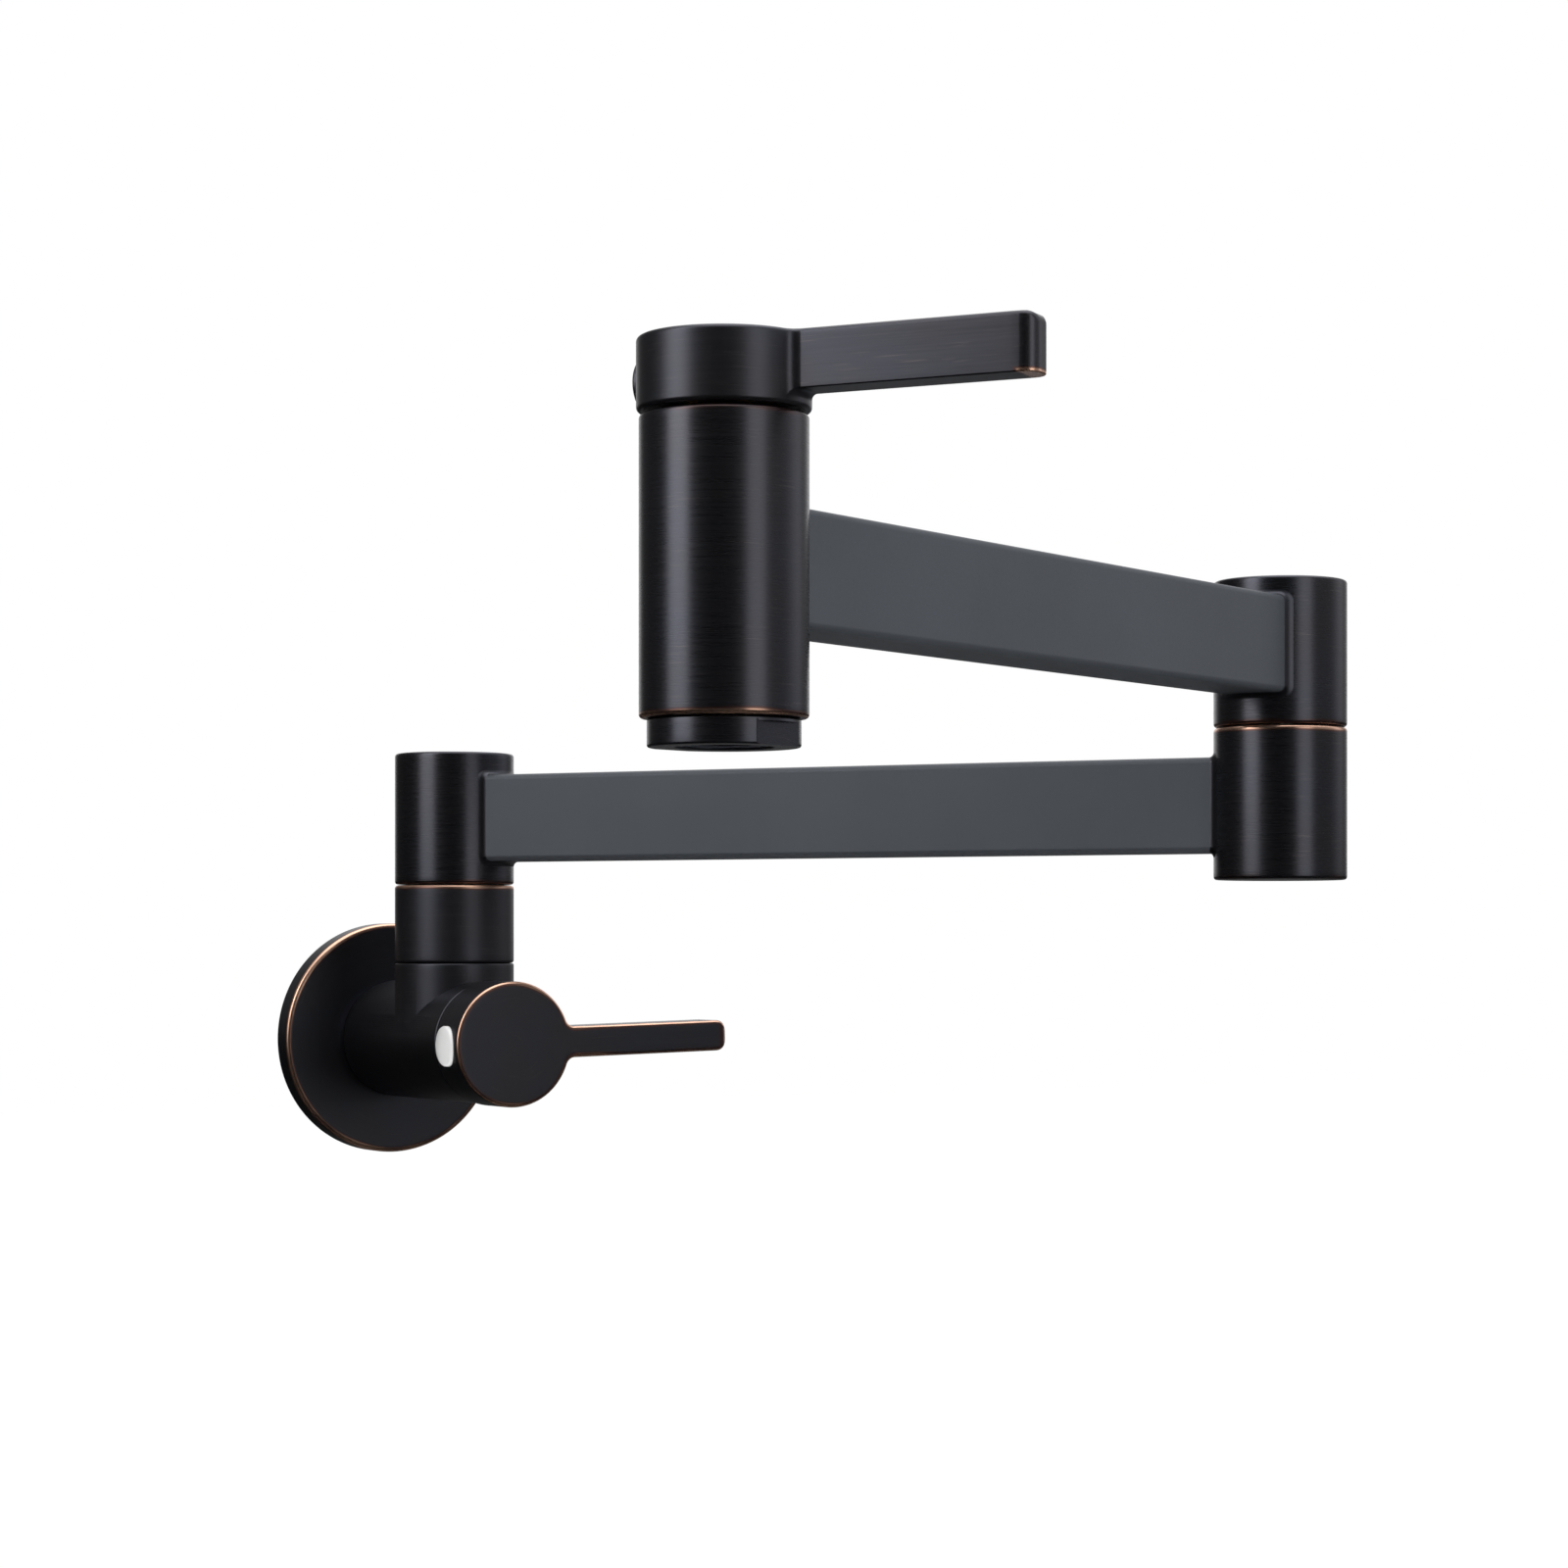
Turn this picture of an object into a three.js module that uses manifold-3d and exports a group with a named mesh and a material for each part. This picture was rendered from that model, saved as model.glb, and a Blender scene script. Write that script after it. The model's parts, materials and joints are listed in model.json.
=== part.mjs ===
// Wall mounted pot filler with two swinging arms, a shut-off valve at the wall and one at the spout.
// Millimetres, +Z up. The wall is the plane y = 0, and the origin is on the axis of the valve body.
import * as THREE from 'three';
import { mergeVertices } from 'three/addons/utils/BufferGeometryUtils.js';
import Module from 'manifold-3d';

const wasm = await Module();
wasm.setup();

// Clearances
const gap = 0.3; // between two pieces that rest on each other
const swivelGap = 0.6; // open line between two hubs that turn
const handleGap = 0.5; // open line between a handle and its body
const overrun = 1; // how far a cut or a joined piece runs past the face it meets

// Facets
const outerSides = 36; // sides of a turned outside
const boreSides = 18; // sides of a bore or an inner turned piece
const smallSides = 12; // sides of a screw or a port

// Layout
const columnReach = 47; // wall to the axis of the column
const armLength = 232; // axis to axis, both arms
const armHeading = -56.1; // degrees from +X, arm 1 as photographed
const elbowHeading = -154.8; // degrees from +X, arm 2 as photographed
const spoutLeverHeading = -55.9; // degrees from +X
const wallLeverLift = 1.5; // degrees above level

// Flange
const flangeRadius = 32;
const flangeDepth = 7;
const flangePlate = 2.5; // thickness of its front
const flangeRim = 3; // width of its back rim
const edgeBreak = 0.6; // chamfer on every visible edge
const flangePlay = 0.4; // clearance of the flange on the neck
const gasketWidth = 4.5;
const gasketDepth = 3;
const flangeRingSection = 1.2; // radius of the rubber ring's section

// Valve body
const bodyRadius = 16.2;
const bodyFront = 69.5; // wall to the front face
const neckRadius = 14.4; // where it passes through the flange
const neckStart = 1.5; // wall to the back face
const shoulderLength = 3.6; // from the neck to the full radius
const hubRadius = 16; // stub, sleeve, hubs and spout
const stubHeight = 21.1; // body axis to the top of the stub
const passageRadius = 6;
const inletBore = 9.3; // radius of the hole for the supply nipple
const inletWall = 3.1; // wall of the inlet adapter
const inletDepth = 19.5; // length of the inlet adapter
const inletLip = 1.8; // thickness of its inner lip
const inletLipBore = 7;
const inletWasherThickness = 1.6;
const seatWall = 3; // wall between the inlet and the cartridge

// Cartridge, measured from its seat
const cartridgeDepth = 36.6; // seat to the face of the body
const cartridgeBore = 10.6; // radius of the chamber in the body
const cartridgeThread = 10.2; // radius of the threaded part
const cartridgeNose = 8.4; // radius of the part with the windows
const cartridgeNoseLength = 22;
const cartridgeHexRadius = 11.2;
const cartridgeHexHeight = 3.3;
const sealHeight = 2;
const sealHole = 5.2;
const seatHole = 4.8;
const discRadius = 6.6;
const discThickness = 2.7;
const discPortRadius = 1.7;
const discPortOffset = 3.7;
const keyWidth = 2.8; // rib of the stem that drives the turning disc
const keyHeight = 1.2;
const stemFootHeight = 3;
const stemRadius = 3.9;
const stemPlay = 0.4; // clearance of the stem in its bore
const stemGrooveDepth = 1.4;
const stemRingHeight = 21; // seat to the middle of the stem's rubber ring
const footRoom = 3; // space above the stem's foot
const windowHeight = 5;
const windowWidth = 6;
const splineLength = 5.6;
const splineRoot = 3.4;
const splineTip = 4;
const splineTeeth = 16;
const clipThickness = 0.7;
const clipRadius = 5.6;
const clipGroove = 0.6; // depth of the groove that holds the clip
const clipOpening = 2.4; // width of its mouth

// Handle, measured from its rear rim
const capRadius = 16.5;
const capHeight = 14;
const capRoof = 3; // thickness of the front
const capWall = 2.9;
const capRound = 1; // rounding of the front edge
const leverLength = 64; // axis to tip
const leverWidth = 8.2;
const leverHeight = 11.1;
const leverFillet = 2.6; // where the lever leaves the cap
const leverTipRound = 2;
const leverRoot = 0.8; // share of the cap's radius at which the lever starts inside it
const handleHubRadius = 6.6;
const handleHubStart = 4.3;
const handleHubPlay = 0.5; // room round the hub for the end of the cartridge
const screwLevel = 6.2; // height of the grub screw and the button
const bossWidth = 8;
const grubRadius = 1.7;
const grubLength = 6.6;
const grubSocket = 0.9;
const grubSocketDepth = 1.8;
const buttonRadius = 5;
const buttonSink = 1.9;
const buttonCrown = 1.4;

// Column and swivels
const sleeveHeight = 20.3;
const hubHeight = 35.2; // hub that turns on a spigot
const lowerHubHeight = 36.3; // hub at the outer end of arm 1
const spigotRadius = 8;
const spigotBore = 5;
const spigotBase = 10; // radius of the threaded base
const spigotSeat = 8.6; // depth of its socket in the stub
const elbowThread = 9.5; // length of thread in the lower hub
const collarRadius = 13;
const collarHeight = 3;
const collarDrop = 0.7; // collar below the joint line
const slipSink = 1; // recess of the slip washer in the hub
const grooveDepth = 2.1;
const ringSection = 0.9; // radius of a swivel ring's section
const lowerRingHeight = 4.2; // joint line to the middle of the ring
const upperRingDrop = 2.6; // shoulder to the middle of the upper ring
const crossHoleRadius = 3.2;
const crossHoleRise = 1; // start of the chamber to the lower edge of the cross hole
const chamberRadius = 10.6; // water chamber in a hub
const chamberStart = 9;
const windowRise = 3; // half the height of the way into the tube
const windowReach = 4.5; // half its width
const hubCapThickness = 2.7;
const hubCapRadius = 13;
const plugThickness = 3.4;
const screwRoom = 4.8; // space under the hub cap
const screwRoomRadius = 11.5;
const thrustThickness = 1.2;
const retainingHeadRadius = 4.5;
const retainingHeadHeight = 2.3;
const retainingShank = 1.9;
const retainingLength = 7; // of the shank in the spigot
const retainingSpare = 1; // depth of its hole past the end of the shank
const retainingSocket = 1.7;
const retainingSocketDepth = 1.4;
const retainingHeadRound = 0.7;

// Arm tubes
const tubeWidth = 17;
const tubeHeight = 23;
const tubeWall = 1.6;
const tubeCorner = 1.4;
const tubeStart = 12; // hub axis to the bottom of the tube's socket
const armRise = 17.6; // hub bottom to the middle of arm 1
const elbowRise = 18.9; // hub bottom to the middle of arm 2

// Spout
const spoutHeight = 56.8;
const spoutDrop = 29.1; // middle of the tube to the bottom of the spout
const aeratorRadius = 14.5;
const aeratorHeight = 5.1; // visible ring
const aeratorThread = 11.6; // radius of the part inside the spout
const aeratorThreadLength = 7.9;
const aeratorBore = 10.3;
const aeratorLip = 9.4;
const aeratorLipHeight = 1;
const aeratorFlatWidth = 11.6;
const aeratorFlatHeight = 4.4;
const aeratorFlatAngle = 84; // degrees from the arm
const insertHeight = 10;
const insertCell = 1.3;
const insertPitch = 3.1;
const insertRows = 3; // rows of cells tried on each side of the middle
const insertWeb = 0.6; // skirt of the insert round its cells
const aeratorWasherHeight = 2;
const aeratorWasherBore = 8;

// Finishes
const bronze = { color: 0x2c2b2d, roughness: 0.4, metalness: 0.85 };
const slateBronze = { color: 0x4a4c50, roughness: 0.5, metalness: 0.7 };
const rawBrass = { color: 0xb08d4a, roughness: 0.35, metalness: 1 };
const steel = { color: 0xb8babd, roughness: 0.3, metalness: 1 };
const rubber = { color: 0x141414, roughness: 0.8, metalness: 0 };
const slipPlastic = { color: 0xe8e6df, roughness: 0.55, metalness: 0 };
const fibre = { color: 0x8c3f2e, roughness: 0.9, metalness: 0 };
const foam = { color: 0x3c3c3e, roughness: 0.95, metalness: 0 };
const ceramic = { color: 0xf1efe9, roughness: 0.25, metalness: 0 };
const whiteGloss = { color: 0xf5f4f1, roughness: 0.2, metalness: 0 };
const greyPlastic = { color: 0x9a9da0, roughness: 0.5, metalness: 0 };

// A closed solid from a geometry, without its normals, texture coordinates and collapsed triangles.
function toSolid(geometry) {
  const bare = geometry.clone();
  bare.deleteAttribute('normal');
  bare.deleteAttribute('uv');
  const merged = mergeVertices(bare, 1e-4);
  const corners = merged.index.array;
  const kept = [];
  for (let i = 0; i < corners.length; i += 3) {
    const [a, b, c] = [corners[i], corners[i + 1], corners[i + 2]];
    if (a !== b && b !== c && c !== a) kept.push(a, b, c);
  }
  return new wasm.Manifold(new wasm.Mesh({
    numProp: 3,
    vertProperties: new Float32Array(merged.attributes.position.array),
    triVerts: new Uint32Array(kept),
  }));
}

function toGeometry(solid) {
  const mesh = solid.getMesh();
  const geometry = new THREE.BufferGeometry();
  geometry.setAttribute('position', new THREE.BufferAttribute(new Float32Array(mesh.vertProperties), 3));
  geometry.setIndex(new THREE.BufferAttribute(new Uint32Array(mesh.triVerts), 1));
  geometry.computeVertexNormals();
  return geometry;
}

// Twice the area inside a profile: positive when it runs anticlockwise.
function profileTurn(profile) {
  let sum = 0;
  profile.forEach(([r, z], i) => {
    const [nextR, nextZ] = profile[(i + 1) % profile.length];
    sum += r * nextZ - nextR * z;
  });
  return sum;
}

// A turned solid about Z. The profile is a list of [radius, height] that closes on itself.
function turned(profile, sides = boreSides) {
  const ring = profileTurn(profile) > 0 ? [...profile] : [...profile].reverse();
  ring.push(ring[0]);
  const geometry = new THREE.LatheGeometry(ring.map(([r, z]) => new THREE.Vector2(r, z)), sides);
  geometry.rotateX(Math.PI / 2);
  return toSolid(geometry);
}

function rod(radius, from, to, sides = boreSides) {
  return turned([[0, from], [radius, from], [radius, to], [0, to]], sides);
}

function washer(inner, outer, from, to, sides = boreSides) {
  return turned([[inner, from], [outer, from], [outer, to], [inner, to]], sides);
}

// A rubber ring whose middle lies at a height.
function rubberRing(middleRadius, section, height, sides = smallSides) {
  const steps = 6;
  const profile = [];
  for (let i = 0; i < steps; i += 1) {
    const angle = (i / steps) * 2 * Math.PI;
    profile.push([middleRadius + section * Math.cos(angle), height + section * Math.sin(angle)]);
  }
  return turned(profile, sides);
}

// A rod along another axis, made along Z and then turned and moved.
function placed(solid, { turn = [0, 0, 0], at = [0, 0, 0] }) {
  return solid.rotate(turn).translate(at);
}

function block(xFrom, xTo, yFrom, yTo, zFrom, zTo) {
  const geometry = new THREE.BoxGeometry(xTo - xFrom, yTo - yFrom, zTo - zFrom);
  geometry.translate((xFrom + xTo) / 2, (yFrom + yTo) / 2, (zFrom + zTo) / 2);
  return toSolid(geometry);
}

function prism(shape, from, to) {
  const depth = to - from;
  const geometry = new THREE.ExtrudeGeometry(shape, { depth, bevelEnabled: false, curveSegments: 4 });
  geometry.translate(0, 0, from);
  return toSolid(geometry);
}

function hexShape(radius) {
  const corners = [];
  for (let i = 0; i < 6; i += 1) {
    corners.push(new THREE.Vector2(radius * Math.cos(i * Math.PI / 3), radius * Math.sin(i * Math.PI / 3)));
  }
  return new THREE.Shape(corners);
}

function splineShape(root, tip) {
  const corners = [];
  for (let i = 0; i < 2 * splineTeeth; i += 1) {
    const radius = i % 2 ? root : tip;
    const angle = i * Math.PI / splineTeeth;
    corners.push(new THREE.Vector2(radius * Math.cos(angle), radius * Math.sin(angle)));
  }
  return new THREE.Shape(corners);
}

function roundedRectangle(width, height, corner) {
  const shape = new THREE.Shape();
  const [x, y] = [width / 2, height / 2];
  shape.moveTo(-x + corner, -y);
  shape.lineTo(x - corner, -y);
  shape.absarc(x - corner, -y + corner, corner, -Math.PI / 2, 0);
  shape.lineTo(x, y - corner);
  shape.absarc(x - corner, y - corner, corner, 0, Math.PI / 2);
  shape.lineTo(-x + corner, y);
  shape.absarc(-x + corner, y - corner, corner, Math.PI / 2, Math.PI);
  shape.lineTo(-x, -y + corner);
  shape.absarc(-x + corner, -y + corner, corner, Math.PI, 1.5 * Math.PI);
  return shape;
}

// The outside of a hub: a cylinder whose two edges are broken.
function hubBlank(radius, height) {
  return turned([
    [0, 0], [radius - edgeBreak, 0], [radius, edgeBreak],
    [radius, height - edgeBreak], [radius - edgeBreak, height], [0, height],
  ], outerSides);
}

// The socket that an arm's tube is brazed into, and the way from it to the water chamber.
function tubeSocket(level) {
  const pocket = block(
    tubeStart, hubRadius + overrun,
    -tubeWidth / 2 - gap, tubeWidth / 2 + gap,
    level - tubeHeight / 2 - gap, level + tubeHeight / 2 + gap,
  );
  const way = block(
    chamberRadius - 2 * overrun, tubeStart + overrun,
    -windowReach, windowReach,
    level - windowRise, level + windowRise,
  );
  return pocket.add(way);
}

// Swivel heights, measured from the bottom of the hub that turns
const shoulderHeight = hubHeight - hubCapThickness - gap - screwRoom;
const spigotTop = shoulderHeight + gap;
const collarTop = -swivelGap - collarDrop;

// Flange and its seals, along the axis of the valve body

function makeFlange() {
  const holeRadius = neckRadius + flangePlay;
  return turned([
    [holeRadius, flangeDepth - flangePlate], [holeRadius, flangeDepth],
    [flangeRadius - edgeBreak, flangeDepth], [flangeRadius, flangeDepth - edgeBreak],
    [flangeRadius, 0], [flangeRadius - flangeRim, 0],
    [flangeRadius - flangeRim, flangeDepth - flangePlate],
  ], outerSides);
}

function makeFlangeGasket() {
  const outer = flangeRadius - flangeRim - gap;
  return washer(outer - gasketWidth, outer, 0, gasketDepth);
}

function makeFlangeRing() {
  const middleRadius = neckRadius + gap + flangeRingSection;
  const height = flangeDepth - flangePlate - gap - flangeRingSection;
  return rubberRing(middleRadius, flangeRingSection, height, boreSides);
}

// Valve body, along its own axis, with the stub on its upper side

function makeValveBody() {
  const shoulderStart = flangeDepth + gap;
  const shoulderSteps = 4;
  const shoulder = [];
  for (let i = 0; i <= shoulderSteps; i += 1) {
    const angle = (i / shoulderSteps) * Math.PI / 2;
    shoulder.push([
      neckRadius + (bodyRadius - neckRadius) * Math.sin(angle),
      shoulderStart + shoulderLength * (1 - Math.cos(angle)),
    ]);
  }
  const barrel = turned([
    [0, neckStart], [neckRadius, neckStart], ...shoulder,
    [bodyRadius, bodyFront - edgeBreak], [bodyRadius - edgeBreak, bodyFront], [0, bodyFront],
  ], outerSides);
  const upright = { turn: [-90, 0, 0], at: [0, 0, columnReach] };
  const stub = placed(turned([
    [0, 0], [hubRadius, 0], [hubRadius, stubHeight - edgeBreak],
    [hubRadius - edgeBreak, stubHeight], [0, stubHeight],
  ], outerSides), upright);
  const seat = bodyFront - cartridgeDepth;
  const inletEnd = neckStart + inletDepth + gap;
  const bores = [
    rod(inletBore + inletWall + gap, neckStart - overrun, inletEnd),
    rod(inletLipBore + gap, inletEnd - overrun, seat - seatWall),
    rod(seatHole, seat - seatWall - overrun, seat + overrun),
    rod(cartridgeBore, seat, bodyFront + overrun),
    placed(rod(passageRadius, 0, stubHeight - overrun), upright),
    placed(rod(spigotBase + gap, stubHeight - spigotSeat, stubHeight + overrun), upright),
  ];
  return bores.reduce((body, bore) => body.subtract(bore), barrel.add(stub));
}

function makeInletAdapter() {
  const outer = inletBore + inletWall;
  return turned([
    [inletBore, neckStart], [outer, neckStart], [outer, neckStart + inletDepth],
    [inletLipBore, neckStart + inletDepth], [inletLipBore, neckStart + inletDepth - inletLip],
    [inletBore, neckStart + inletDepth - inletLip],
  ]);
}

function makeInletWasher() {
  const top = neckStart + inletDepth - inletLip - gap;
  return washer(inletLipBore, inletBore - gap, top - inletWasherThickness, top, smallSides);
}

// Cartridge pieces, measured from the seat

const sealTop = gap + sealHeight;
const housingStart = sealTop + gap;
const fixedDiscStart = housingStart + gap;
const turningDiscStart = fixedDiscStart + discThickness + gap;
const stemFootStart = turningDiscStart + discThickness + gap;
const stemFootTop = stemFootStart + stemFootHeight;
const discChamberTop = stemFootTop + footRoom;
const housingTop = cartridgeDepth + gap + cartridgeHexHeight;
const clipStart = housingTop + gap;
const stemTop = clipStart + clipThickness + gap + splineLength;
const stemBore = stemRadius + stemPlay;

function makeCartridgeSeal() {
  return washer(sealHole, cartridgeNose - gap, gap, sealTop, smallSides);
}

function makeCartridgeHousing() {
  const outside = turned([
    [0, housingStart], [cartridgeNose, housingStart], [cartridgeNose, cartridgeNoseLength],
    [cartridgeThread, cartridgeNoseLength], [cartridgeThread, cartridgeDepth + gap + overrun],
    [0, cartridgeDepth + gap + overrun],
  ]);
  const hexagon = prism(hexShape(cartridgeHexRadius), cartridgeDepth + gap, housingTop);
  const discChamber = rod(discRadius + gap, housingStart - overrun, discChamberTop);
  const bore = rod(stemBore, discChamberTop - overrun, housingTop + overrun);
  const windows = block(
    -cartridgeNose - overrun, cartridgeNose + overrun,
    -windowWidth / 2, windowWidth / 2,
    stemFootStart, stemFootStart + windowHeight,
  );
  return outside.add(hexagon).subtract(discChamber).subtract(bore).subtract(windows);
}

function portedDisc(from) {
  let disc = rod(discRadius, from, from + discThickness, smallSides);
  for (const side of [-1, 1]) {
    const port = rod(discPortRadius, from - overrun, from + discThickness + overrun, smallSides);
    disc = disc.subtract(port.translate([side * discPortOffset, 0, 0]));
  }
  return disc;
}

function makeFixedDisc() {
  return portedDisc(fixedDiscStart);
}

function makeTurningDisc() {
  const top = turningDiscStart + discThickness;
  const slotHalf = keyWidth / 2 + gap;
  const slot = block(
    -slotHalf, slotHalf,
    -discRadius - overrun, discRadius + overrun,
    top - keyHeight - gap, top + overrun,
  );
  return portedDisc(turningDiscStart).subtract(slot);
}

function makeStem() {
  const foot = rod(discRadius - gap, stemFootStart, stemFootTop, smallSides)
    .intersect(block(-keyWidth, keyWidth, -discRadius, discRadius, stemFootStart, stemFootTop));
  const key = rod(discRadius - gap, stemFootStart - keyHeight, stemFootStart + overrun, smallSides)
    .intersect(block(-keyWidth / 2, keyWidth / 2, -discRadius, discRadius, 0, stemFootTop));
  const grooveHalf = stemRingSection() + gap;
  const grooveRoot = stemRadius - stemGrooveDepth;
  const clipRoot = stemRadius - clipGroove;
  const splineStart = clipStart + clipThickness + gap;
  const shaft = turned([
    [0, stemFootTop - overrun], [stemRadius, stemFootTop - overrun],
    [stemRadius, stemRingHeight - grooveHalf], [grooveRoot, stemRingHeight - grooveHalf],
    [grooveRoot, stemRingHeight + grooveHalf], [stemRadius, stemRingHeight + grooveHalf],
    [stemRadius, clipStart - gap], [clipRoot, clipStart - gap],
    [clipRoot, splineStart + overrun], [0, splineStart + overrun],
  ], smallSides);
  const spline = prism(splineShape(splineRoot, splineTip), splineStart, stemTop);
  return foot.add(key).add(shaft).add(spline);
}

function stemRingSection() {
  return (stemBore - (stemRadius - stemGrooveDepth)) / 2 - gap;
}

function makeStemRing() {
  const middleRadius = (stemBore + stemRadius - stemGrooveDepth) / 2;
  return rubberRing(middleRadius, stemRingSection(), stemRingHeight);
}

function makeStemClip() {
  const inner = stemRadius - clipGroove + gap;
  const clipEnd = clipStart + clipThickness;
  const ring = washer(inner, clipRadius, clipStart, clipEnd, smallSides);
  const mouth = clipOpening / 2;
  return ring.subtract(block(0, clipRadius + overrun, -mouth, mouth, clipStart - overrun, clipEnd + overrun));
}

// Handle, measured from its rear rim, with the lever along +X and the button on the other side

function leverOutline() {
  const half = leverWidth / 2;
  const filletY = half + leverFillet;
  const filletX = Math.sqrt((capRadius + leverFillet) ** 2 - filletY ** 2);
  const touch = Math.atan2(filletY, filletX);
  const shape = new THREE.Shape();
  const [touchX, touchY] = [capRadius * Math.cos(touch), capRadius * Math.sin(touch)];
  shape.moveTo(touchX * leverRoot, -touchY * leverRoot);
  shape.lineTo(touchX, -touchY);
  shape.absarc(filletX, -filletY, leverFillet, Math.PI - touch, Math.PI / 2, true);
  shape.lineTo(leverLength - leverTipRound, -half);
  shape.absarc(leverLength - leverTipRound, -half + leverTipRound, leverTipRound, -Math.PI / 2, 0);
  shape.absarc(leverLength - leverTipRound, half - leverTipRound, leverTipRound, 0, Math.PI / 2);
  shape.lineTo(filletX, half);
  shape.absarc(filletX, filletY, leverFillet, -Math.PI / 2, touch - Math.PI, true);
  shape.lineTo(touchX * leverRoot, touchY * leverRoot);
  return shape;
}

function makeHandle() {
  const round = [];
  const roundSteps = 3;
  for (let i = 0; i <= roundSteps; i += 1) {
    const angle = (i / roundSteps) * Math.PI / 2;
    round.push([
      capRadius - capRound + capRound * Math.cos(angle),
      capHeight - capRound + capRound * Math.sin(angle),
    ]);
  }
  const cap = turned([[0, 0], [capRadius, 0], ...round, [0, capHeight]], outerSides);
  const lever = prism(leverOutline(), capHeight - leverHeight, capHeight);
  const roof = capHeight - capRoof;
  const recess = washer(handleHubRadius, capRadius - capWall, -overrun, roof, outerSides);
  const boss = block(-capRadius, 0, -bossWidth / 2, bossWidth / 2, handleHubStart, capHeight);
  const hubRoom = rod(handleHubRadius + handleHubPlay, -overrun, handleHubStart);
  const splineBore = prism(splineShape(splineRoot + gap, splineTip + gap), -overrun, roof - gap);
  const sideways = { turn: [0, -90, 0], at: [0, 0, screwLevel] };
  const screwHole = placed(rod(grubRadius + gap, overrun, capRadius, smallSides), sideways);
  const buttonFloor = capRadius - buttonSink;
  const buttonHole = placed(rod(buttonRadius + gap, buttonFloor, capRadius + overrun), sideways);
  return cap.subtract(recess.subtract(boss)).add(lever)
    .subtract(hubRoom).subtract(splineBore).subtract(screwHole).subtract(buttonHole);
}

// The grub screw and the button lie along Z here and are turned sideways by their group.

function makeGrubScrew() {
  const tip = splineTip + 2 * gap;
  const head = tip + grubLength;
  const screw = rod(grubRadius, tip, head, smallSides);
  return screw.subtract(prism(hexShape(grubSocket), head - grubSocketDepth, head + overrun));
}

function makeIndexButton() {
  const floor = capRadius - buttonSink + gap;
  const edge = capRadius - gap;
  const steps = 4;
  const sphere = (buttonRadius ** 2 + buttonCrown ** 2) / (2 * buttonCrown);
  const crown = [];
  for (let i = 0; i <= steps; i += 1) {
    const radius = buttonRadius * (1 - i / steps);
    crown.push([radius, edge - sphere + buttonCrown + Math.sqrt(sphere ** 2 - radius ** 2)]);
  }
  return turned([[0, floor], [buttonRadius, floor], ...crown]);
}

// Swivel pieces, measured from the bottom of the hub that turns

function makeSleeve() {
  const lower = hubBlank(hubRadius, sleeveHeight);
  const collarFloor = sleeveHeight - collarDrop - collarHeight - gap;
  return lower
    .subtract(rod(spigotBase + gap, -overrun, sleeveHeight + overrun))
    .subtract(rod(collarRadius + gap, collarFloor, sleeveHeight + overrun));
}

function makeSpigot(baseStart) {
  const grooveRoot = spigotRadius - grooveDepth;
  const half = ringSection + gap;
  const upperRing = shoulderHeight - upperRingDrop;
  const outside = turned([
    [0, baseStart], [spigotBase, baseStart], [spigotBase, collarTop - collarHeight],
    [collarRadius, collarTop - collarHeight], [collarRadius, collarTop], [spigotRadius, collarTop],
    [spigotRadius, lowerRingHeight - half], [grooveRoot, lowerRingHeight - half],
    [grooveRoot, lowerRingHeight + half], [spigotRadius, lowerRingHeight + half],
    [spigotRadius, upperRing - half], [grooveRoot, upperRing - half],
    [grooveRoot, upperRing + half], [spigotRadius, upperRing + half],
    [spigotRadius, spigotTop], [0, spigotTop],
  ]);
  const holeLevel = chamberStart + crossHoleRise + crossHoleRadius;
  const screwHoleStart = spigotTop - retainingLength - retainingSpare;
  const holeReach = spigotRadius + overrun;
  const crossHole = placed(rod(crossHoleRadius, -holeReach, holeReach, smallSides), {
    turn: [90, 0, 0], at: [0, 0, holeLevel],
  });
  return outside
    .subtract(rod(spigotBore, baseStart - overrun, holeLevel + crossHoleRadius))
    .subtract(crossHole).subtract(crossHole.rotate([0, 0, 90]))
    .subtract(rod(retainingShank + gap, screwHoleStart, spigotTop + overrun, smallSides));
}

function swivelRing(height) {
  const middleRadius = spigotRadius - grooveDepth + gap + ringSection;
  return rubberRing(middleRadius, ringSection, height);
}

function makeSlipWasher() {
  return washer(spigotRadius + gap, collarRadius, collarTop + gap, slipSink - gap);
}

function makeHub(level) {
  const bore = spigotRadius + gap;
  const cuts = [
    rod(collarRadius + gap, -overrun, slipSink),
    rod(bore, 0, shoulderHeight + overrun),
    rod(chamberRadius, chamberStart, level + windowRise),
    rod(screwRoomRadius, shoulderHeight, hubHeight),
    rod(hubCapRadius + gap, hubHeight - hubCapThickness - gap, hubHeight + overrun),
    tubeSocket(level),
  ];
  return cuts.reduce((hub, cut) => hub.subtract(cut), hubBlank(hubRadius, hubHeight));
}

function makeHubCap() {
  const top = hubHeight;
  const from = hubHeight - hubCapThickness;
  return turned([
    [0, from], [hubCapRadius, from], [hubCapRadius, top - gap], [hubCapRadius - gap, top], [0, top],
  ], outerSides);
}

function makeThrustWasher() {
  const from = spigotTop + gap;
  return washer(retainingShank + gap, screwRoomRadius - gap, from, from + thrustThickness, smallSides);
}

function makeRetainingScrew() {
  const headStart = spigotTop + thrustThickness + 2 * gap;
  const headTop = headStart + retainingHeadHeight - gap;
  const screw = turned([
    [0, spigotTop - retainingLength], [retainingShank, spigotTop - retainingLength],
    [retainingShank, headStart], [retainingHeadRadius, headStart],
    [retainingHeadRadius, headTop - retainingHeadRound], [retainingHeadRadius - retainingHeadRound, headTop],
    [0, headTop],
  ], smallSides);
  return screw.subtract(prism(hexShape(retainingSocket), headTop - retainingSocketDepth, headTop + overrun));
}

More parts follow.
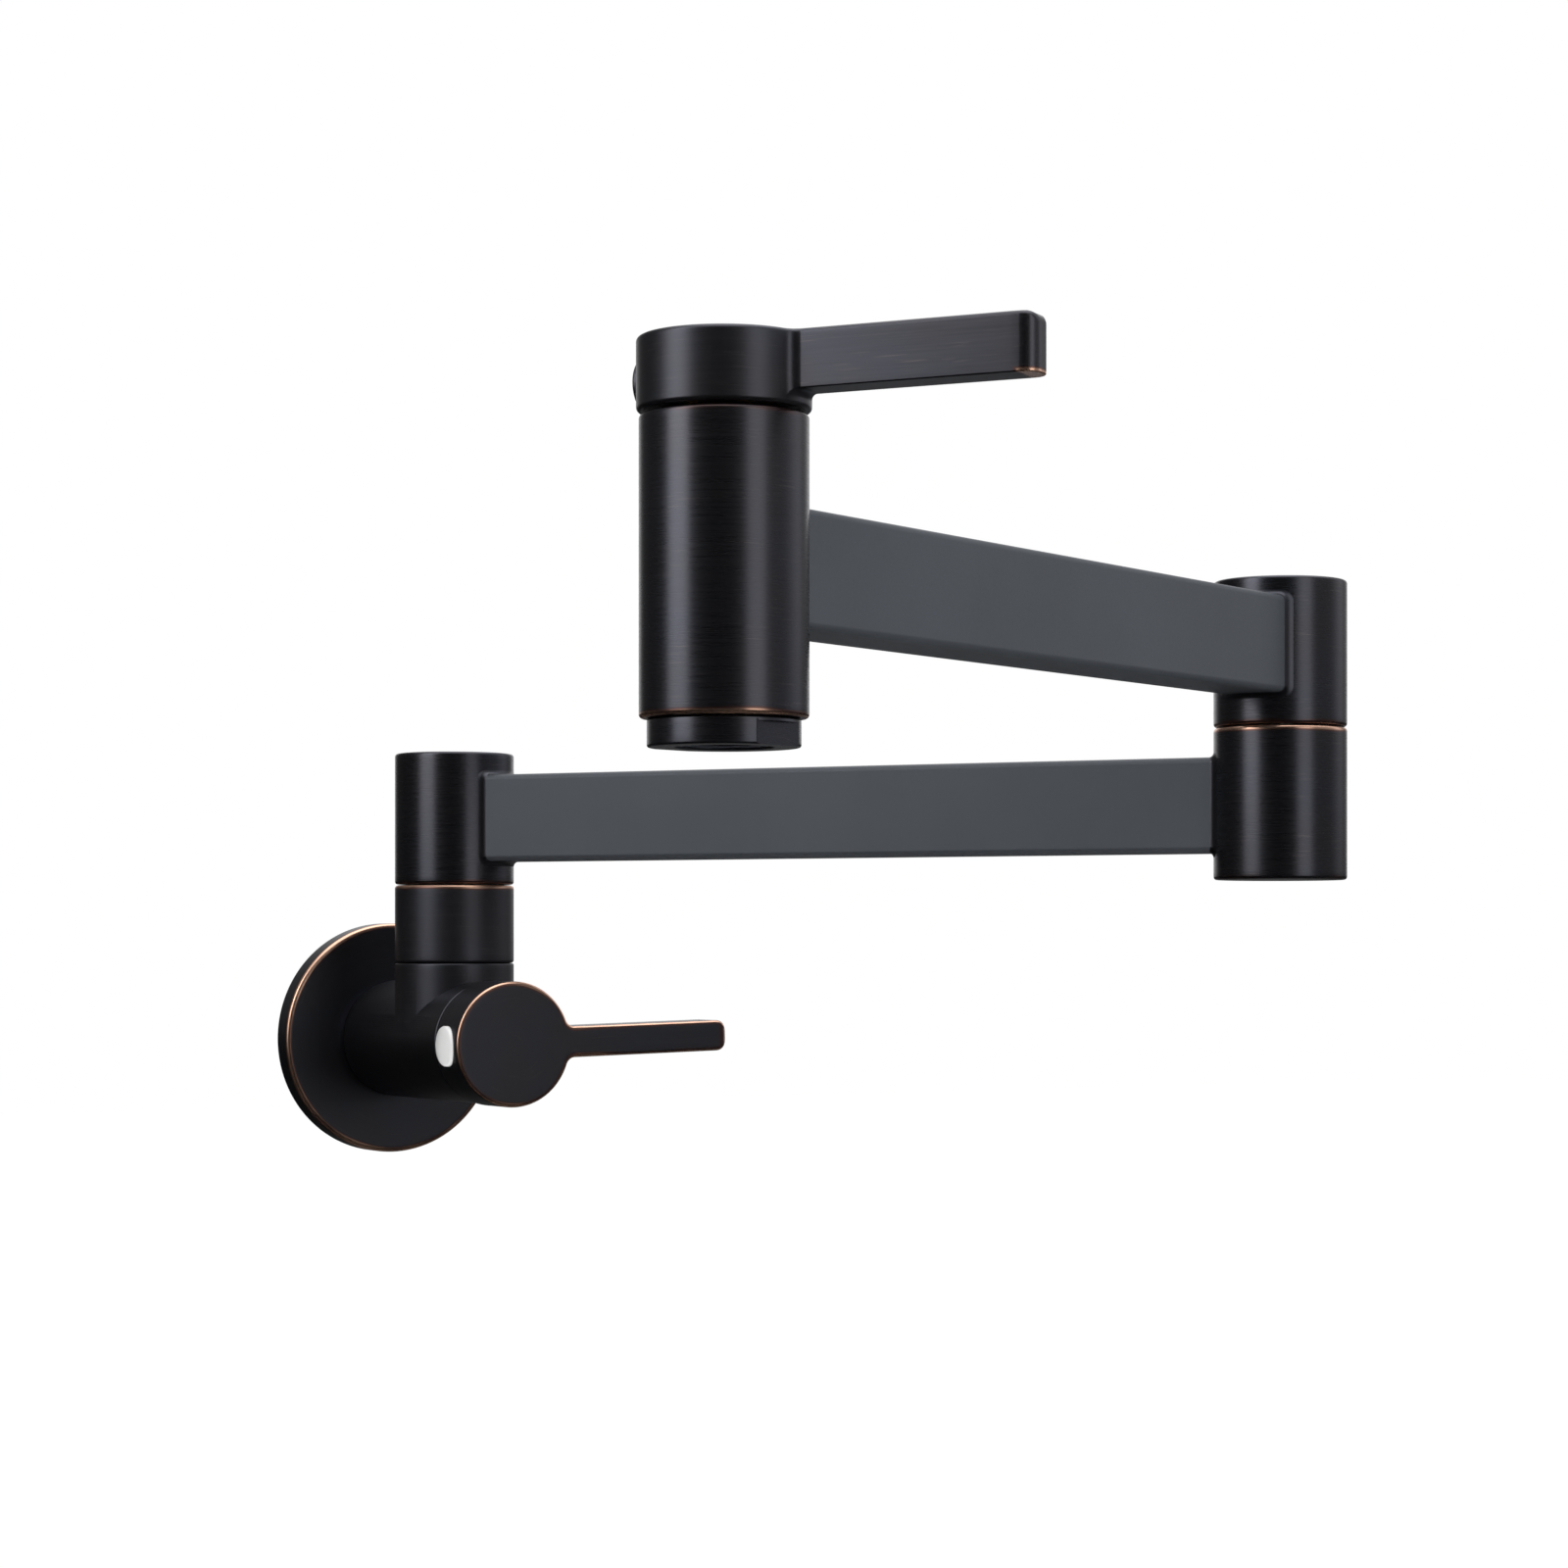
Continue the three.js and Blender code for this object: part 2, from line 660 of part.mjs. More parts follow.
// The hub at the outer end of arm 1, measured from its own bottom
function makeLowerHub() {
  const level = lowerHubHeight / 2;
  const collarRoom = lowerHubHeight - collarDrop - collarHeight - gap;
  const cuts = [
    rod(hubCapRadius + gap, -overrun, plugThickness + gap),
    rod(chamberRadius, plugThickness, level + windowRise),
    rod(spigotBase + gap, level, lowerHubHeight),
    rod(collarRadius + gap, collarRoom, lowerHubHeight + overrun),
    tubeSocket(level).rotate([0, 0, 180]),
  ];
  return cuts.reduce((hub, cut) => hub.subtract(cut), hubBlank(hubRadius, lowerHubHeight));
}

function makeBottomPlug() {
  return turned([
    [0, 0], [hubCapRadius - gap, 0], [hubCapRadius, gap], [hubCapRadius, plugThickness], [0, plugThickness],
  ], outerSides);
}

function makeTube() {
  const shape = roundedRectangle(tubeHeight, tubeWidth, tubeCorner);
  const inside = roundedRectangle(tubeHeight - 2 * tubeWall, tubeWidth - 2 * tubeWall, tubeCorner / 2);
  const [from, to] = [tubeStart + gap, armLength - tubeStart - gap];
  const tube = prism(shape, from, to).subtract(prism(inside, from - overrun, to + overrun));
  return tube.rotate([0, 90, 0]);
}

// Spout, measured from its own bottom

function makeSpoutBody() {
  const seat = spoutHeight - cartridgeDepth;
  const aeratorRoom = aeratorThreadLength + aeratorWasherHeight + 2 * gap;
  const cuts = [
    rod(aeratorThread + gap, -overrun, aeratorRoom),
    rod(aeratorWasherBore, aeratorRoom - overrun, seat - seatWall),
    rod(seatHole, seat - seatWall - overrun, seat + overrun),
    rod(cartridgeBore, seat, spoutHeight + overrun),
    tubeSocket(spoutDrop).rotate([0, 0, 180]),
  ];
  return cuts.reduce((body, cut) => body.subtract(cut), hubBlank(hubRadius, spoutHeight));
}

// The ring hangs below the spout, so its heights are negative.
function makeAeratorHousing() {
  const bottom = -gap - aeratorHeight;
  const housing = turned([
    [aeratorLip, bottom], [aeratorRadius - edgeBreak, bottom], [aeratorRadius, bottom + edgeBreak],
    [aeratorRadius, -gap], [aeratorThread, -gap], [aeratorThread, aeratorThreadLength],
    [aeratorBore, aeratorThreadLength], [aeratorBore, bottom + aeratorLipHeight],
    [aeratorLip, bottom + aeratorLipHeight],
  ], outerSides);
  const flatDistance = Math.sqrt(aeratorRadius ** 2 - (aeratorFlatWidth / 2) ** 2);
  const cut = block(
    flatDistance, aeratorRadius + overrun,
    -aeratorFlatWidth / 2 - overrun, aeratorFlatWidth / 2 + overrun,
    bottom - overrun, bottom + aeratorFlatHeight,
  );
  return housing.subtract(cut).subtract(cut.rotate([0, 0, 180]));
}

function makeAeratorInsert() {
  const from = -aeratorHeight + aeratorLipHeight;
  const radius = aeratorBore - gap;
  let insert = rod(radius, from, from + insertHeight, outerSides);
  const cell = prism(hexShape(insertCell), from - overrun, from + insertHeight + overrun);
  for (let row = -insertRows; row <= insertRows; row += 1) {
    for (let place = -insertRows; place <= insertRows; place += 1) {
      const x = insertPitch * (place + row / 2);
      const y = insertPitch * row * Math.sqrt(3) / 2;
      if (Math.hypot(x, y) + insertCell + insertWeb < radius) {
        insert = insert.subtract(cell.translate([x, y, 0]));
      }
    }
  }
  return insert;
}

function makeAeratorWasher() {
  const from = aeratorThreadLength + gap;
  return washer(aeratorWasherBore, aeratorThread, from, from + aeratorWasherHeight, smallSides);
}

// The scene graph

function part(parent, name, solid, finish) {
  const mesh = new THREE.Mesh(toGeometry(solid), new THREE.MeshStandardMaterial(finish));
  mesh.name = name;
  parent.add(mesh);
}

function frameIn(parent, x, y, z, heading = 0) {
  const frame = new THREE.Group();
  frame.position.set(x, y, z);
  frame.rotation.z = THREE.MathUtils.degToRad(heading);
  parent.add(frame);
  return frame;
}

// A cartridge and its handle. The seat is the height of the cartridge's seat in the parent.
function addValve(parent, prefix, seat, heading, buttonFinish) {
  const fixed = frameIn(parent, 0, 0, seat);
  part(fixed, `${prefix}_cartridge_seal`, makeCartridgeSeal(), rubber);
  part(fixed, `${prefix}_cartridge_housing`, makeCartridgeHousing(), rawBrass);
  part(fixed, `${prefix}_cartridge_fixed_disc`, makeFixedDisc(), ceramic);
  const turning = frameIn(parent, 0, 0, seat, heading);
  part(turning, `${prefix}_cartridge_turning_disc`, makeTurningDisc(), ceramic);
  part(turning, `${prefix}_cartridge_stem`, makeStem(), rawBrass);
  part(turning, `${prefix}_cartridge_o_ring`, makeStemRing(), rubber);
  part(turning, `${prefix}_stem_clip`, makeStemClip(), steel);
  const handle = frameIn(turning, 0, 0, cartridgeDepth + handleGap);
  part(handle, `${prefix}_handle`, makeHandle(), bronze);
  const sideways = frameIn(handle, 0, 0, screwLevel);
  sideways.rotation.y = -Math.PI / 2;
  part(sideways, `${prefix}_handle_screw`, makeGrubScrew(), steel);
  part(sideways, `${prefix}_index_button`, makeIndexButton(), buttonFinish);
}

// A spigot with the seals that ride on it. The frame's zero is the bottom of the hub that turns.
function addSwivel(parent, prefix, baseStart) {
  part(parent, `${prefix}_spigot`, makeSpigot(baseStart), rawBrass);
  part(parent, `${prefix}_o_ring_lower`, swivelRing(lowerRingHeight), rubber);
  part(parent, `${prefix}_o_ring_upper`, swivelRing(shoulderHeight - upperRingDrop), rubber);
  part(parent, `${prefix}_slip_washer`, makeSlipWasher(), slipPlastic);
  part(parent, `${prefix}_thrust_washer`, makeThrustWasher(), slipPlastic);
  part(parent, `${prefix}_retaining_screw`, makeRetainingScrew(), steel);
}

const potFiller = new THREE.Group();

// Local Z runs out of the wall and local Y runs up.
const wallSide = frameIn(potFiller, 0, 0, 0);
wallSide.rotation.x = Math.PI / 2;
part(wallSide, 'wall_flange', makeFlange(), bronze);
part(wallSide, 'flange_gasket', makeFlangeGasket(), foam);
part(wallSide, 'flange_o_ring', makeFlangeRing(), rubber);
part(wallSide, 'valve_body', makeValveBody(), bronze);
part(wallSide, 'inlet_adapter', makeInletAdapter(), rawBrass);
part(wallSide, 'inlet_washer', makeInletWasher(), fibre);
addValve(wallSide, 'wall', bodyFront - cartridgeDepth, wallLeverLift, whiteGloss);

const sleeveStart = stubHeight + gap;
const columnJoint = sleeveStart + sleeveHeight + swivelGap;
const sleeveFrame = frameIn(potFiller, 0, -columnReach, sleeveStart);
part(sleeveFrame, 'column_sleeve', makeSleeve(), bronze);
const columnFrame = frameIn(potFiller, 0, -columnReach, columnJoint);
addSwivel(columnFrame, 'column', stubHeight - spigotSeat + gap - columnJoint);

const armOne = frameIn(potFiller, 0, -columnReach, columnJoint, armHeading);
part(armOne, 'arm_1_hub', makeHub(armRise), bronze);
part(armOne, 'arm_1_hub_cap', makeHubCap(), bronze);
part(frameIn(armOne, 0, 0, armRise), 'arm_1_tube', makeTube(), slateBronze);
const lowerHub = frameIn(armOne, armLength, 0, armRise - lowerHubHeight / 2);
part(lowerHub, 'elbow_lower_hub', makeLowerHub(), bronze);
part(lowerHub, 'elbow_bottom_plug', makeBottomPlug(), bronze);
const elbowFrame = frameIn(lowerHub, 0, 0, lowerHubHeight + swivelGap);
addSwivel(elbowFrame, 'elbow', collarTop - collarHeight - elbowThread);

const armTwo = frameIn(elbowFrame, 0, 0, 0, elbowHeading - armHeading);
part(armTwo, 'elbow_upper_hub', makeHub(elbowRise), bronze);
part(armTwo, 'elbow_hub_cap', makeHubCap(), bronze);
part(frameIn(armTwo, 0, 0, elbowRise), 'arm_2_tube', makeTube(), slateBronze);

const spout = frameIn(armTwo, armLength, 0, elbowRise - spoutDrop);
part(spout, 'spout_body', makeSpoutBody(), bronze);
const aerator = frameIn(spout, 0, 0, 0, aeratorFlatAngle);
part(aerator, 'aerator_housing', makeAeratorHousing(), bronze);
part(aerator, 'aerator_insert', makeAeratorInsert(), greyPlastic);
part(aerator, 'aerator_washer', makeAeratorWasher(), rubber);
addValve(spout, 'spout', spoutHeight - cartridgeDepth, spoutLeverHeading - elbowHeading, bronze);

export default potFiller;
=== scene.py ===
# Wall mounted pot filler in oil rubbed bronze: the looks, built on the CAD frame.
import json
import math
import bpy
from mathutils import Matrix, Vector


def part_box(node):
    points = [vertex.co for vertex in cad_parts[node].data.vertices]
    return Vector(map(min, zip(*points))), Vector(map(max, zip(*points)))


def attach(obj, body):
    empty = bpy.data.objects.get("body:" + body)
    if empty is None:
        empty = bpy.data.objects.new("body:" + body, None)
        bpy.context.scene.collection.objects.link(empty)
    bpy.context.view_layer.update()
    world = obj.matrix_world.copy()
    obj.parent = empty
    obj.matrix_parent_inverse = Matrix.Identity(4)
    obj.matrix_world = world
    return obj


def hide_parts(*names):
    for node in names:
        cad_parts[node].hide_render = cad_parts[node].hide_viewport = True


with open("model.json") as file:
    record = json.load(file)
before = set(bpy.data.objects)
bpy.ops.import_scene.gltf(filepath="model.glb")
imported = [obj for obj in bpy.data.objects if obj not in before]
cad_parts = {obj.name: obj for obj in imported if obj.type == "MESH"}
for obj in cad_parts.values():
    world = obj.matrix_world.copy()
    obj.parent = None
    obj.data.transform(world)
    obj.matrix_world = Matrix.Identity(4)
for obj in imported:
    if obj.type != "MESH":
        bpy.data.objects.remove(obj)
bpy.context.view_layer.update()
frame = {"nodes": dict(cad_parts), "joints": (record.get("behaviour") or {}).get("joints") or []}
mm = 0.001
print("frame loaded:", len(frame["nodes"]), "nodes")

# Where the axes stand, from the joints of the frame
joints = {joint["name"]: Vector(joint["pos_m"]) for joint in frame["joints"]}
columnAxis = joints["arm_1_swing"]
elbowAxis = joints["arm_2_swing"]
spoutAxis = joints["spout_handle_turn"]
handleStart = {"wall": 0.070, "spout": spoutAxis.z}  # rear rim of each handle
armHeading = math.atan2(elbowAxis.y - columnAxis.y, elbowAxis.x - columnAxis.x)
elbowHeading = math.atan2(spoutAxis.y - elbowAxis.y, spoutAxis.x - elbowAxis.x)
leverHeading = math.radians(-55.9)
leverLift = math.radians(1.5)
aeratorTurn = math.radians(84)
sleeveFoot = 0.0214  # above the axis of the barrel
armLength = (elbowAxis - columnAxis).xy.length / mm

outOfWall = Matrix.Rotation(math.pi / 2, 4, "X")  # local Z runs out of the wall, local Y runs up
alongArm = Matrix.Rotation(math.pi / 2, 4, "Z") @ outOfWall  # local Z runs along X, local Y runs up


def seat(x, y, z, heading=0.0):
    return Matrix.Translation((x, y, z)) @ Matrix.Rotation(heading, 4, "Z")


sleeveSeat = seat(columnAxis.x, columnAxis.y, sleeveFoot)
armSeat = seat(columnAxis.x, columnAxis.y, columnAxis.z, armHeading)
lowerHubSeat = seat(elbowAxis.x, elbowAxis.y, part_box("elbow_lower_hub")[0].z, armHeading)
upperHubSeat = seat(elbowAxis.x, elbowAxis.y, elbowAxis.z, elbowHeading)
spoutSeat = seat(spoutAxis.x, spoutAxis.y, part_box("spout_body")[0].z, elbowHeading)
aeratorSeat = spoutSeat @ Matrix.Rotation(aeratorTurn, 4, "Z")


# Modelling helpers, all in millimetres

near = 0.01  # what counts as the same place
weld = 1e-6  # metres, points closer than this become one
quarter = [i / 8 * math.pi / 2 for i in range(9)]  # eight steps round a quarter turn


def setMode(mode):
    bpy.ops.object.mode_set(mode=mode)


def takeAll():
    bpy.ops.mesh.select_all(action="SELECT")


def faceOutward():
    # out of edit mode with every face turned outward
    takeAll()
    bpy.ops.mesh.normals_make_consistent(inside=False)
    setMode("OBJECT")


def pullFaces(x, y, z):
    bpy.ops.mesh.extrude_region_move(TRANSFORM_OT_translate={"value": (x * mm, y * mm, z * mm)})


def dropSelection():
    if bpy.context.object and bpy.context.object.mode != "OBJECT":
        setMode("OBJECT")
    bpy.ops.object.select_all(action="DESELECT")


def pick(piece):
    dropSelection()
    piece.select_set(True)
    bpy.context.view_layer.objects.active = piece


def applyModifier(piece, kind, **settings):
    pick(piece)
    modifier = piece.modifiers.new(kind.lower(), kind)
    for name, value in settings.items():
        setattr(modifier, name, value)
    bpy.ops.object.modifier_apply(modifier=modifier.name)


def withHalo(outline, width, closed):
    # two more points beside each corner, so that the worn rim fades within that width
    points = []
    count, least = len(outline), 2.2 * width
    for i, (r, z) in enumerate(outline):
        here = Vector((r, z))
        for j in (i - 1, i + 1):
            if closed or 0 <= j < count:
                other = Vector(outline[j % count])
                if (other - here).length > least:
                    points.append((i + (j - i) / 3, here + (other - here).normalized() * width))
        points.append((i, here))
    return [tuple(point) for order, point in sorted(points, key=lambda entry: entry[0])]


def tracePath(name, points):
    # a chain of edges through the points, left in edit mode with all of it selected
    dropSelection()
    bpy.ops.mesh.primitive_plane_add(size=mm)
    piece = bpy.context.object
    piece.name = piece.data.name = name
    setMode("EDIT")
    bpy.ops.mesh.select_mode(type="VERT")
    takeAll()
    bpy.ops.mesh.merge(type="CENTER")
    bpy.ops.transform.translate(value=Vector(points[0]) * mm)
    for here, there in zip(points, points[1:]):
        step = (Vector(there) - Vector(here)) * mm
        bpy.ops.mesh.extrude_vertices_move(TRANSFORM_OT_translate={"value": step})
    takeAll()
    bpy.ops.mesh.remove_doubles(threshold=weld)
    return piece


def spinOutline(name, outline, sides=160, closed=True, halo=1.9):
    # draws the half section (radius, height) and spins it about Z
    points = withHalo(outline, halo, closed)
    path = points + points[:1] if closed else points
    piece = tracePath(name, [(r, 0, z) for r, z in path])
    bpy.ops.mesh.spin(steps=sides, angle=2 * math.pi, center=(0, 0, 0), axis=(0, 0, 1))
    takeAll()
    bpy.ops.mesh.remove_doubles(threshold=weld)
    faceOutward()
    return piece


def spinDisc(name, radius, low, high, sides=160):
    return spinOutline(name, [(0, low), (radius, low), (radius, high), (0, high)], sides, closed=False)


def pullOutline(name, outline, low, high):
    # draws a flat outline, fills it and pulls it up
    piece = tracePath(name, [(x, y, low) for x, y in outline + outline[:1]])
    bpy.ops.mesh.edge_face_add()
    pullFaces(0, 0, high - low)
    faceOutward()
    return piece


def addRod(radius, start, end, sides=96):
    dropSelection()
    bpy.ops.mesh.primitive_cylinder_add(vertices=sides, radius=radius * mm, depth=(end - start) * mm,
                                        location=(0, 0, (start + end) / 2 * mm))
    bpy.ops.object.transform_apply()
    return bpy.context.object


def addBlock(low, high):
    dropSelection()
    size = [(b - a) * mm for a, b in zip(low, high)]
    centre = [(a + b) / 2 * mm for a, b in zip(low, high)]
    bpy.ops.mesh.primitive_cube_add(size=1, location=centre, scale=size)
    bpy.ops.object.transform_apply()
    return bpy.context.object


def turnPiece(piece, matrix):
    pick(piece)
    piece.matrix_world = matrix @ piece.matrix_world
    bpy.ops.object.transform_apply()
    return piece


def cutWith(piece, tool, operation="DIFFERENCE"):
    applyModifier(piece, "BOOLEAN", object=tool, operation=operation, solver="EXACT")
    bpy.data.objects.remove(tool)
    return piece


def startChoice(piece, kind):
    pick(piece)
    setMode("EDIT")
    bpy.ops.mesh.select_mode(type=kind)
    bpy.ops.mesh.select_all(action="DESELECT")


def chooseEdges(piece, test, angle=0):
    # leaves edit mode on with the edges sharper than the angle whose two ends pass the test
    startChoice(piece, "EDGE")
    if angle:
        bpy.ops.mesh.edges_select_sharp(sharpness=math.radians(angle))
    setMode("OBJECT")
    points = piece.data.vertices
    for edge in piece.data.edges:
        a, b = (points[i].co / mm for i in edge.vertices)
        edge.select = (edge.select or not angle) and test(a, b)
    setMode("EDIT")


def chooseFaces(piece, test):
    # leaves edit mode on with the faces whose centre and normal pass the test
    startChoice(piece, "FACE")
    setMode("OBJECT")
    for face in piece.data.polygons:
        face.select = test(face.center / mm, face.normal)
    setMode("EDIT")


def splitAt(piece, place, direction):
    # a seam right round the piece, where a finish changes
    pick(piece)
    setMode("EDIT")
    takeAll()
    bpy.ops.mesh.bisect(plane_co=Vector(place) * mm, plane_no=direction)
    setMode("OBJECT")


def roundEdges(piece, test, width, segments=3, angle=0):
    chooseEdges(piece, test, angle)
    bpy.ops.mesh.bevel(offset=width * mm, segments=segments, profile=0.5, affect="EDGES")
    setMode("OBJECT")
    return piece


def atRim(radius, level):
    # passes the edges of an outer corner
    return lambda a, b: min(a.z, b.z) > level - near and min(a.xy.length, b.xy.length) > radius - near


def roundSharp(piece, width, segments=3, angle=40):
    applyModifier(piece, "BEVEL", width=width * mm, segments=segments, limit_method="ANGLE",
                  angle_limit=math.radians(angle))
    return piece


worn = {"gain": 3.4, "threshold": 0.55, "flat": 0.04}


def wear(vertex, beside):
    # 1 where a rim turns away at 45 degrees, the given share at its borders, 0 on the flats
    turn = abs(vertex.normal.z) * vertex.normal.xy.length
    return max(beside, min(1.0, worn["gain"] * turn - worn["threshold"])) if turn > worn["flat"] else 0.0


def rubRims(piece, rims, beside=0.75, reach=1.5):
    # how far the patina is rubbed off each rim, given as (radius, height, share); where a rim that faces down
    # gets a low share, its brown is partly wear and partly painted shade
    rub = piece.data.attributes.new("rub", "FLOAT", "POINT")
    for vertex in piece.data.vertices:
        here = Vector((vertex.co.xy.length / mm, vertex.co.z / mm))
        rubAndShadeShares = [share for radius, height, share in rims
                  if (here - Vector((radius, height))).length < reach]
        rub.data[vertex.index].value = max(rubAndShadeShares, default=0) * wear(vertex, beside)


def finishPiece(piece, matrix, body, nodes, slot, *materials):
    turnPiece(piece, matrix)
    setMode("EDIT")
    takeAll()
    bpy.ops.mesh.remove_doubles(threshold=weld)
    bpy.ops.mesh.dissolve_degenerate(threshold=weld)
    faceOutward()
    bpy.ops.object.shade_smooth_by_angle(angle=math.radians(35))
    applyModifier(piece, "WEIGHTED_NORMAL", mode="FACE_AREA", keep_sharp=True)
    for material in materials:
        piece.data.materials.append(material)
    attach(piece, body)
    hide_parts(*nodes)
    print("made", piece.name, len(piece.data.polygons), "faces")
    return piece


# Materials

def linear(hexColour):
    parts = [int(hexColour[i:i + 2], 16) / 255 for i in (1, 3, 5)]
    return (*[c / 12.92 if c <= 0.04045 else ((c + 0.055) / 1.055) ** 2.4 for c in parts], 1)


def addNode(tree, kind, settings=None, inputs=None):
    node = tree.nodes.new(kind)
    for name, value in (settings or {}).items():
        setattr(node, name, value)
    for name, value in (inputs or {}).items():
        if isinstance(value, bpy.types.NodeSocket):
            tree.links.new(value, node.inputs[name])
        else:
            node.inputs[name].default_value = value
    return node


def newMaterial(name):
    material = bpy.data.materials.new(name)
    material.use_nodes = True
    tree = material.node_tree
    return material, tree, tree.nodes["Principled BSDF"]


def objectPlace(tree):
    return addNode(tree, "ShaderNodeTexCoord").outputs["Object"]


def noise(tree, place, scale, detail, roughness):
    return addNode(tree, "ShaderNodeTexNoise", inputs={
        "Vector": place, "Scale": scale, "Detail": detail, "Roughness": roughness}).outputs[0]


def remap(tree, value, low, high, toLow=0.0, toHigh=1.0, kind="LINEAR"):
    return addNode(tree, "ShaderNodeMapRange", {"interpolation_type": kind}, {
        "Value": value, "From Min": low, "From Max": high, "To Min": toLow, "To Max": toHigh}).outputs[0]


def maths(tree, operation, *values):
    return addNode(tree, "ShaderNodeMath", {"operation": operation}, dict(enumerate(values))).outputs[0]


def scaled(tree, vector, factor):
    return addNode(tree, "ShaderNodeVectorMath", {"operation": "SCALE"}, {
        0: vector, "Scale": factor}).outputs[0]


def mixColours(tree, share, under, over):
    return addNode(tree, "ShaderNodeMix", {"data_type": "RGBA"}, {0: share, 6: under, 7: over}).outputs[2]


def dressShader(tree, shader, colour, rough, metallic, height, depth, strength=0.5):
    # the colour, the gloss and a relief of that depth in millimetres
    bump = addNode(tree, "ShaderNodeBump", inputs={
        "Height": height, "Distance": depth * mm, "Strength": strength})
    for name, value in (("Base Color", colour), ("Roughness", rough), ("Normal", bump.outputs[0])):
        tree.links.new(value, shader.inputs[name])
    shader.inputs["Metallic"].default_value = metallic


bronzeLook = {
    "patina": "#4c4d54",
    "warmPatina": "#4d4947",
    "copper": "#edc0a6",
    "haze": "#6f4334",
    "scratch": "#7d706b",
    "metallic": 0.97,
    "roughness": 0.28,
    "roughSpread": (-0.03, 0.04),
    "streakLength": 16,     # mm along the brushing
    "streakWidth": 0.36,    # mm across it, about three times as coarse as real brush marks, to show
    "streakDepth": 0.004,   # mm
    "streakSpan": (0.3, 0.7),
    "glossSpan": (0.25, 0.75),
    "relief": 0.3,
    "contrast": 0.055,      # of the streaks' brightness
    "scratchLength": 10,    # mm
    "scratchWidth": 0.45,
    "scratchSpan": (0.62, 0.82),
    "scratchShare": 0.32,
    "clouds": 55,           # per metre
    "warmSpan": (0.35, 0.75),
    "warmShare": 0.4,
    "ragged": 1.1,          # how far the clouds break the border of a rubbed rim
    "bareSpan": (0.55, 1.0),
    "bareGloss": 0.08,      # how much smoother the rubbed metal is
    "hazeSpan": (0.25, 0.7),
    "hazeShare": 0.6,
}


def brushedBronze(name, centre=(0, 0, 0), turn=(0, 0, 0), streaks=1.0, duller=0.0, turned=True):
    # brass with a dark chemical patina over a brushed ground: satin, near black, with soft bands of
    # light and hair-fine marks round the axis (or along X if not turned), some of them brown, and
    # bare pinkish copper where the rims are handled
    look = bronzeLook
    material, tree, shader = newMaterial(name)
    here = objectPlace(tree)
    brushing = addNode(tree, "ShaderNodeMapping", inputs={
        "Vector": here, "Location": centre, "Rotation": turn}).outputs[0]
    longScale, shortScale, fineScale, coarseScale = (
        1 / (look[size] * mm) for size in ("streakLength", "scratchLength", "streakWidth", "scratchWidth"))
    fineScales = (longScale, fineScale, fineScale)
    coarseScales = (shortScale, coarseScale, coarseScale)
    if turned:
        x, y, z = addNode(tree, "ShaderNodeSeparateXYZ", inputs={0: brushing}).outputs
        flat = addNode(tree, "ShaderNodeCombineXYZ", inputs={"X": x, "Y": y})
        radius = addNode(tree, "ShaderNodeVectorMath", {"operation": "LENGTH"}, {0: flat.outputs[0]})
        along = maths(tree, "ADD", radius.outputs["Value"], z)
        brushing = addNode(tree, "ShaderNodeCombineXYZ", inputs={"X": x, "Y": y, "Z": along}).outputs[0]
        fineScales = (longScale, longScale, fineScale)
        coarseScales = (shortScale, shortScale, coarseScale)
    fine = addNode(tree, "ShaderNodeMapping", inputs={"Vector": brushing, "Scale": fineScales})
    streak = noise(tree, fine.outputs[0], 1.0, detail=3, roughness=0.65)
    coarse = addNode(tree, "ShaderNodeMapping", inputs={
        "Vector": brushing, "Location": (3.1, 1.7, 0.4), "Scale": coarseScales})
    marks = noise(tree, coarse.outputs[0], 1.0, detail=2, roughness=0.5)
    scratches = remap(tree, marks, *look["scratchSpan"], 0.0, look["scratchShare"] * streaks)
    clouds = noise(tree, here, look["clouds"], detail=2, roughness=0.5)
    warm = remap(tree, clouds, *look["warmSpan"], 0.0, look["warmShare"])
    dark = mixColours(tree, warm, linear(look["patina"]), linear(look["warmPatina"]))
    swing = look["contrast"] * streaks
    brushed = scaled(tree, dark, remap(tree, streak, *look["streakSpan"], 1 - swing, 1 + swing))
    browned = mixColours(tree, scratches, brushed, linear(look["scratch"]))
    # the rubbed rims: the attribute says where, the clouds break their border
    rub = addNode(tree, "ShaderNodeAttribute", {"attribute_name": "rub"})
    ragged = maths(tree, "MULTIPLY_ADD", clouds, look["ragged"], -look["ragged"] / 2)
    handled = maths(tree, "ADD", rub.outputs["Fac"], ragged)
    bare = remap(tree, handled, *look["bareSpan"], kind="SMOOTHSTEP")
    haze = remap(tree, handled, *look["hazeSpan"], 0.0, look["hazeShare"], "SMOOTHSTEP")
    hazed = mixColours(tree, haze, browned, linear(look["haze"]))
    colour = mixColours(tree, bare, hazed, linear(look["copper"]))
    satin = [look["roughness"] + duller + step for step in look["roughSpread"]]
    brushedRough = remap(tree, streak, *look["glossSpan"], *satin)
    rough = maths(tree, "MULTIPLY_ADD", bare, -look["bareGloss"], brushedRough)
    dressShader(tree, shader, colour, rough, look["metallic"], streak, look["streakDepth"],
                look["relief"] * streaks)
    return material


slateLook = {"patina": "#4a4e54", "metallic": 0.45, "roughness": 0.46, "roughSpread": (-0.03, 0.04),
             "span": (0.3, 0.7), "grain": 0.5, "depth": 0.006, "clouds": 28, "contrast": 0.05}


